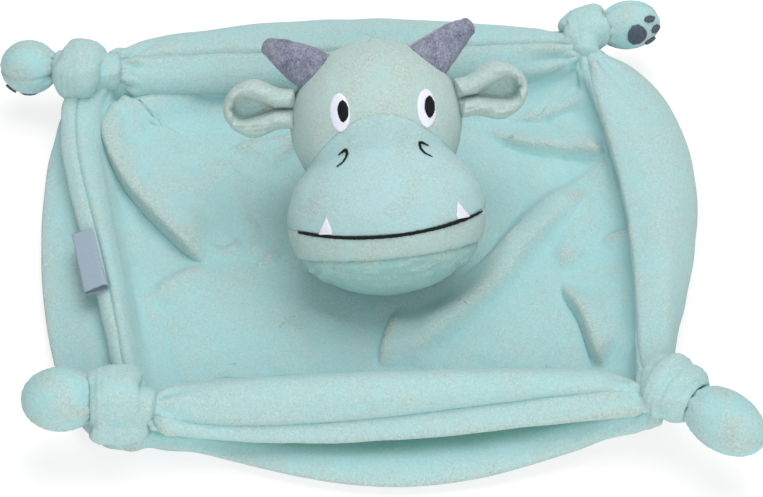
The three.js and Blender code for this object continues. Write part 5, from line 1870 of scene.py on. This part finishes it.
@dataclass
class Ear:
    """A folded ear: two thick rolls that meet in a crease at the root, round a hollow at the outer end."""

    toy: Toy
    shape: HeadShape
    side: str
    root: Triple = (39.5, 3, 29)
    rise: float = 6.0
    half_length: float = 17.0
    half_depth: float = 8.5
    half_height: float = 14.0
    root_pinch: float = 0.67
    moved: Triple = (2.4, 1.6, 2.8)
    bend: Pair = (1.0, 11.0)
    hollow_middle: float = 24.0
    hollow_start: float = 10.0
    hollow_end: float = 5.4
    hollow_half: float = 4.8
    hollow_depth: float = 3.6
    edge: float = 1.2
    roll_width: float = 8.0
    bead_width: float = 6.0
    crease: float = 1.2
    crease_width: float = 1.3
    pleat: float = 0.2
    lower_pleat: float = 0.3
    droop: float = 0.0018
    droop_start: float = 6.0
    lining_half: float = 8.859697694
    lining_shift: float = 3.0
    lining_dish: float = 1.7
    nap_and_shade: float = 0.6
    lining_nap: float = 0.7
    rows: int = 70
    steps: int = 180

    def outline(self, turns: Array) -> tuple[Array, Array]:
        """Gives the leaf's edge at angles round it, as places along and across it."""
        x = np.cos(turns)
        across = np.sin(turns)
        swell = smoothstep((x + 1) / 2, 0.1, 0.62)
        root = self.root_pinch / np.maximum(np.abs(across), 0.3)
        return self.half_length * (1 + x), self.half_height * lerp(root, 1.0, swell) * across

    def axes(self) -> tuple[Array, Array]:
        """Gives the ear's root and its axes, outward, back and up, in the head's own axes."""
        sign = SIGNS[self.side]
        toward = unit(np.array(self.root, float) * np.array([sign, 1, 1]))
        root = toward * (self.shape.reach(toward[None])[0] + 0.3)
        root = root + np.array(self.moved if self.side == "left" else (-1.2, 0.0, 0.0))
        turn = math.radians(self.rise)
        outward = np.array([math.cos(turn) * sign, 0, math.sin(turn)])
        back = np.array([0.0, 1.0, 0.0])
        up = unit(np.cross(outward, back) * sign)
        return root, np.stack([outward, back, up])

    def inside_hollow(self, x: Array, z: Array) -> Array:
        """Gives how far each place is inside the hollow, negative outside it."""
        ahead = x > self.hollow_middle
        reach = np.where(ahead, self.hollow_end, self.hollow_middle - self.hollow_start)
        share = np.clip(np.abs(x - self.hollow_middle) / reach, 0, 3)
        half = np.where(ahead, arch(share), np.maximum(0, 1 - share) ** 0.8)
        beyond = np.where(ahead, np.maximum(0, share - 1) * self.hollow_end, 0.0)
        return half * self.hollow_half - np.hypot(np.abs(z), beyond)

    def drooped(self, x: Array) -> Array:
        """Gives how far the leaf bends forward at places along it."""
        return self.droop * (x - self.droop_start) ** 2

    def build(self) -> None:
        """Adds the outer ear and its lining."""
        turns = around(self.steps)
        edge_x, edge_z = self.outline(turns)
        middle_x = np.clip(edge_x, self.half_length * 0.3, self.half_length * 1.45)
        shares = np.linspace(0.0, 1, self.rows)[:, None]
        x = lerp(middle_x[None], edge_x[None], shares)
        z = edge_z[None] * shares
        inward = (1 - shares) * np.hypot(edge_x - middle_x, edge_z)[None]
        inside = self.inside_hollow(x, z)
        width = inward + np.maximum(-inside, 0.0) + 1e-6
        place = np.clip(inward / width, 0, 1)
        roll = arch(2 * place - 1)
        thick = self.half_depth * np.minimum(1.0, width / self.roll_width)
        sunk = smoothstep(inside, -0.8, 2.6) * smoothstep(x, self.hollow_start, self.hollow_start + 9)
        crease = bell(np.maximum(-inside, 0), self.crease_width) * (1 - sunk)
        front = -thick * roll + self.hollow_depth * sunk + self.crease * crease * smoothstep(x, 1, 5)
        bead = arch(1 - np.clip(inward / self.bead_width, 0, 1))
        rear = self.half_depth * 0.95 * bead
        grain = np.stack([x * 0.22, z * 1.0, 0 * x], -1)
        pleats = Ripple(151 if self.side == "left" else 156, 2.6).at(grain)
        front = front - (self.pleat + self.lower_pleat * smoothstep(-z, 0.0, 6.0)) * pleats * roll
        droop = self.drooped(x)
        front = np.minimum(front - droop, rear - self.edge * bead)
        rear = rear - droop * 0.4
        root, axes = self.axes()
        skins = [np.stack([x, depth, z], -1) for depth in (front, rear)]
        points = np.concatenate([skin.reshape(-1, 3) for skin in (skins[0], skins[1][:-1])])
        points = points + 0.12 * Ripple(152, 5.0).at(points)[:, None] * np.array([0, 1, 0.4])
        rows, columns = x.shape
        second = grid_faces(rows, columns, True, True)
        second = np.where(second >= (rows - 1) * columns, second, second + rows * columns)
        blocks = [grid_faces(rows, columns, True), second]
        name = f"ear_{self.side}"
        placed = self.shape.to_toy(root + points @ axes)
        mesh = make_mesh(f"{name}_rims", placed, blocks, self.side == "left")
        weld(mesh, 0.02)
        set_nap_and_shade(mesh, self.nap_and_shade)
        obj = self.toy.add(f"{name}_rims", mesh, Finish.CROWN, f"{name}_outer", None)
        start, end = (self.shape.to_toy((root + axes[0] * along)[None])[0] for along in self.bend)
        tuple(start * MM)
        tuple(end * MM)
        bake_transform(obj)
        self.lining(front, root, axes)

    def lining(self, front: Array, root: Array, axes: Array) -> None:
        """Adds the lining that lies in the hollow, from the depth of the ear's front at its middle."""
        floor = float(np.median(front[0])) - 0.1
        turns = around(96)
        shares = np.linspace(0.02, 1, 24)[:, None]
        x = self.hollow_middle - self.lining_shift + self.lining_half * np.cos(turns)[None] * shares
        z = (self.hollow_half + 0.8) * np.sin(turns)[None] * shares
        dish = floor + 0.5 - self.lining_dish * (1 - shares ** 2) - self.drooped(x)
        part = np.stack([x, dish, z], -1)
        under = part + np.array([0.0, 1.0, 0.0])
        points, faces = slab(part, under, True)
        name = f"ear_{self.side}"
        placed = self.shape.to_toy(root + points @ axes)
        mesh = make_mesh(f"{name}_lining", placed, faces, self.side == "left")
        set_nap_and_shade(mesh, self.lining_nap)
        self.toy.add(f"{name}_lining", mesh, Finish.BLANKET, f"{name}_inner", name)


def weld(mesh: Mesh, distance: float) -> None:
    """Joins the vertices of a mesh that lie within a distance in millimetres."""
    bm = bmesh.new()
    bm.from_mesh(mesh)
    bmesh.ops.remove_doubles(bm, verts=bm.verts, dist=distance * MM)
    bmesh.ops.dissolve_degenerate(bm, edges=bm.edges, dist=distance * MM / 4)
    bm.to_mesh(mesh)
    bm.free()


@dataclass
class Neck:
    """The cloth under the nape, sewn to the blanket in a ring and to the head above it."""

    toy: Toy
    x: float = 0.0
    y: float = 31.0
    radius: float = 14.0
    low: float = 4.1
    high: float = 10.0
    flare: float = 1.4
    taper: float = 2.0
    wall: float = 1.2
    pleats: int = 26
    pleat: float = 0.25

    def build(self) -> None:
        """Adds the neck, which follows the blanket below and the head above."""
        turns = around(120)
        share = np.linspace(0, 1, 22)
        swell = self.radius + self.flare * bell(share, 0.25) - self.taper * share
        pleats = self.pleat * np.sin(self.pleats * turns)
        rings = []
        for wall in (0.0, self.wall):
            radius = swell[:, None] + pleats[None] * (1 - share[:, None]) - wall
            rings.append(np.stack([
                self.x + radius * np.cos(turns), self.y + radius * np.sin(turns),
                lerp(self.low, self.high, share)[:, None] + 0 * radius,
            ], -1))
        mesh = make_mesh("neck_cloth", *slab(*rings, True))
        set_nap_and_shade(mesh, 0.3)
        obj = self.toy.add("neck_cloth", mesh, Finish.BLANKET, "neck_seam", None)
        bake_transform(obj)


# Stage


@dataclass
class Stage:
    """A pale floor, plain soft light, and the camera at the photograph's angle."""

    elevation: float = 48.0
    distance: float = 1.150
    target: Triple = (0.0, -0.010, 0.020)
    width: int = 763
    metres_per_pixel: float = 0.00047
    sensor: float = 36.0
    floor_half: float = 6.0
    shadow: float = 0.3
    sky: float = 0.4
    lamps: tuple[tuple[str, Triple, float, float], ...] = (
        ("key", (0.15, 0.4, 1.2), 1.1, 12.6),
        ("fill", (0.1, -1.25, 0.5), 1.4, 13.0),
    )

    def floor(self) -> None:
        """Adds a floor that is white to the eye and keeps the toy's shadow."""
        points = np.array([(-1, -1, 0), (1, -1, 0), (1, 1, 0), (-1, 1, 0)]) * self.floor_half / MM
        obj = linked("studio_floor", make_mesh("studio_floor", points, [np.array([[0, 1, 2, 3]])]))
        graph = Graph("studio_floor")
        camera, glossy, through = (
            graph.read("LightPath", f"Is {ray} Ray", {}, {}) for ray in ("Camera", "Glossy", "Transmission")
        )
        seen = (camera + glossy + through).clamped()
        speck = graph.noise(60.0, 2.0, graph.place())
        plain = graph.mix(speck, linear("ebebe9"), linear("efefed"))
        pale = (self.shadow, self.shadow, self.shadow, 1.0)
        glow = (1.0 - self.shadow * 0.9,) * 3 + (1.0,)
        obj.data.materials.append(graph.surface({
            "Base Color": graph.mix(seen, plain, pale), "Roughness": 1.0, "Specular IOR Level": 0.0,
            "Emission Color": graph.mix(seen, (0.0, 0.0, 0.0, 1.0), glow), "Emission Strength": 1.0,
        }))

    def lamp(self, name: str, place: Triple, size: float, power: float) -> None:
        """Adds a square soft lamp that faces the toy."""
        data = bpy.data.lights.new(name, "AREA")
        data.energy = power
        data.size = size
        obj = linked(name, data)
        obj.location = place
        aim = Vector(self.target) - Vector(place)
        obj.rotation_euler = aim.to_track_quat("-Z", "Y").to_euler()

    def world(self) -> None:
        """Sets an even pale sky, which the camera sees as white."""
        graph = Graph("studio", world=True)
        bpy.context.scene.world = graph.owner
        dim, white = (
            graph.read("Background", "Background", {}, {"Color": WHITE, "Strength": strength})
            for strength in (self.sky, 1.0)
        )
        seen = graph.read("LightPath", "Is Camera Ray", {}, {})
        mixed = graph.read("MixShader", "Shader", {}, {"Fac": seen, "Shader": dim, "Shader_001": white})
        graph.node("OutputWorld", {}, {"Surface": mixed})

    def camera(self) -> None:
        """Adds the camera."""
        data = bpy.data.cameras.new("studio_camera")
        data.sensor_width = self.sensor
        data.lens = self.sensor * self.distance / (self.width * self.metres_per_pixel)
        data.clip_start = 0.01
        obj = linked("studio_camera", data)
        turn = math.radians(self.elevation)
        back = Vector((0.0, -math.cos(turn), math.sin(turn)))
        obj.location = Vector(self.target) + back * self.distance
        obj.rotation_mode = "QUATERNION"
        obj.rotation_quaternion = (-back).to_track_quat("-Z", "Y")
        bpy.context.scene.camera = obj

    def build(self) -> None:
        """Sets the stage."""
        self.camera()
        self.world()
        self.floor()
        for lamp in self.lamps:
            self.lamp(*lamp)
        bpy.context.scene.view_settings.view_transform = "Standard"


def dress_hidden(toy: Toy) -> None:
    """Gives the pieces inside the covers their materials."""
    for node in ("squeaker_bulb", "squeaker_reed"):
        toy.dress(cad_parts[node], Finish.PLASTIC)
    for node in ("head_filling", *(f"paw_{corner.name}_filling" for corner in CORNERS)):
        toy.dress(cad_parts[node], Finish.WADDING)


def main() -> None:
    """Builds the toy and its stage."""
    logging.basicConfig(level=logging.INFO, format="%(message)s")
    toy = Toy()
    shape = HeadShape()
    Stage().build()
    Blanket(toy).build()
    Label(toy).build()
    for seed, corner in enumerate(CORNERS):
        Knot(toy, corner, seed).build()
        Paw(toy, corner, seed).build()
    HeadCover(toy, shape).build()
    Stitching(toy, shape).build()
    for side in SIGNS:
        Horn(toy, shape, side).build()
        Ear(toy, shape, side).build()
    Neck(toy).build()
    dress_hidden(toy)


if __name__ == "__main__":
    main()
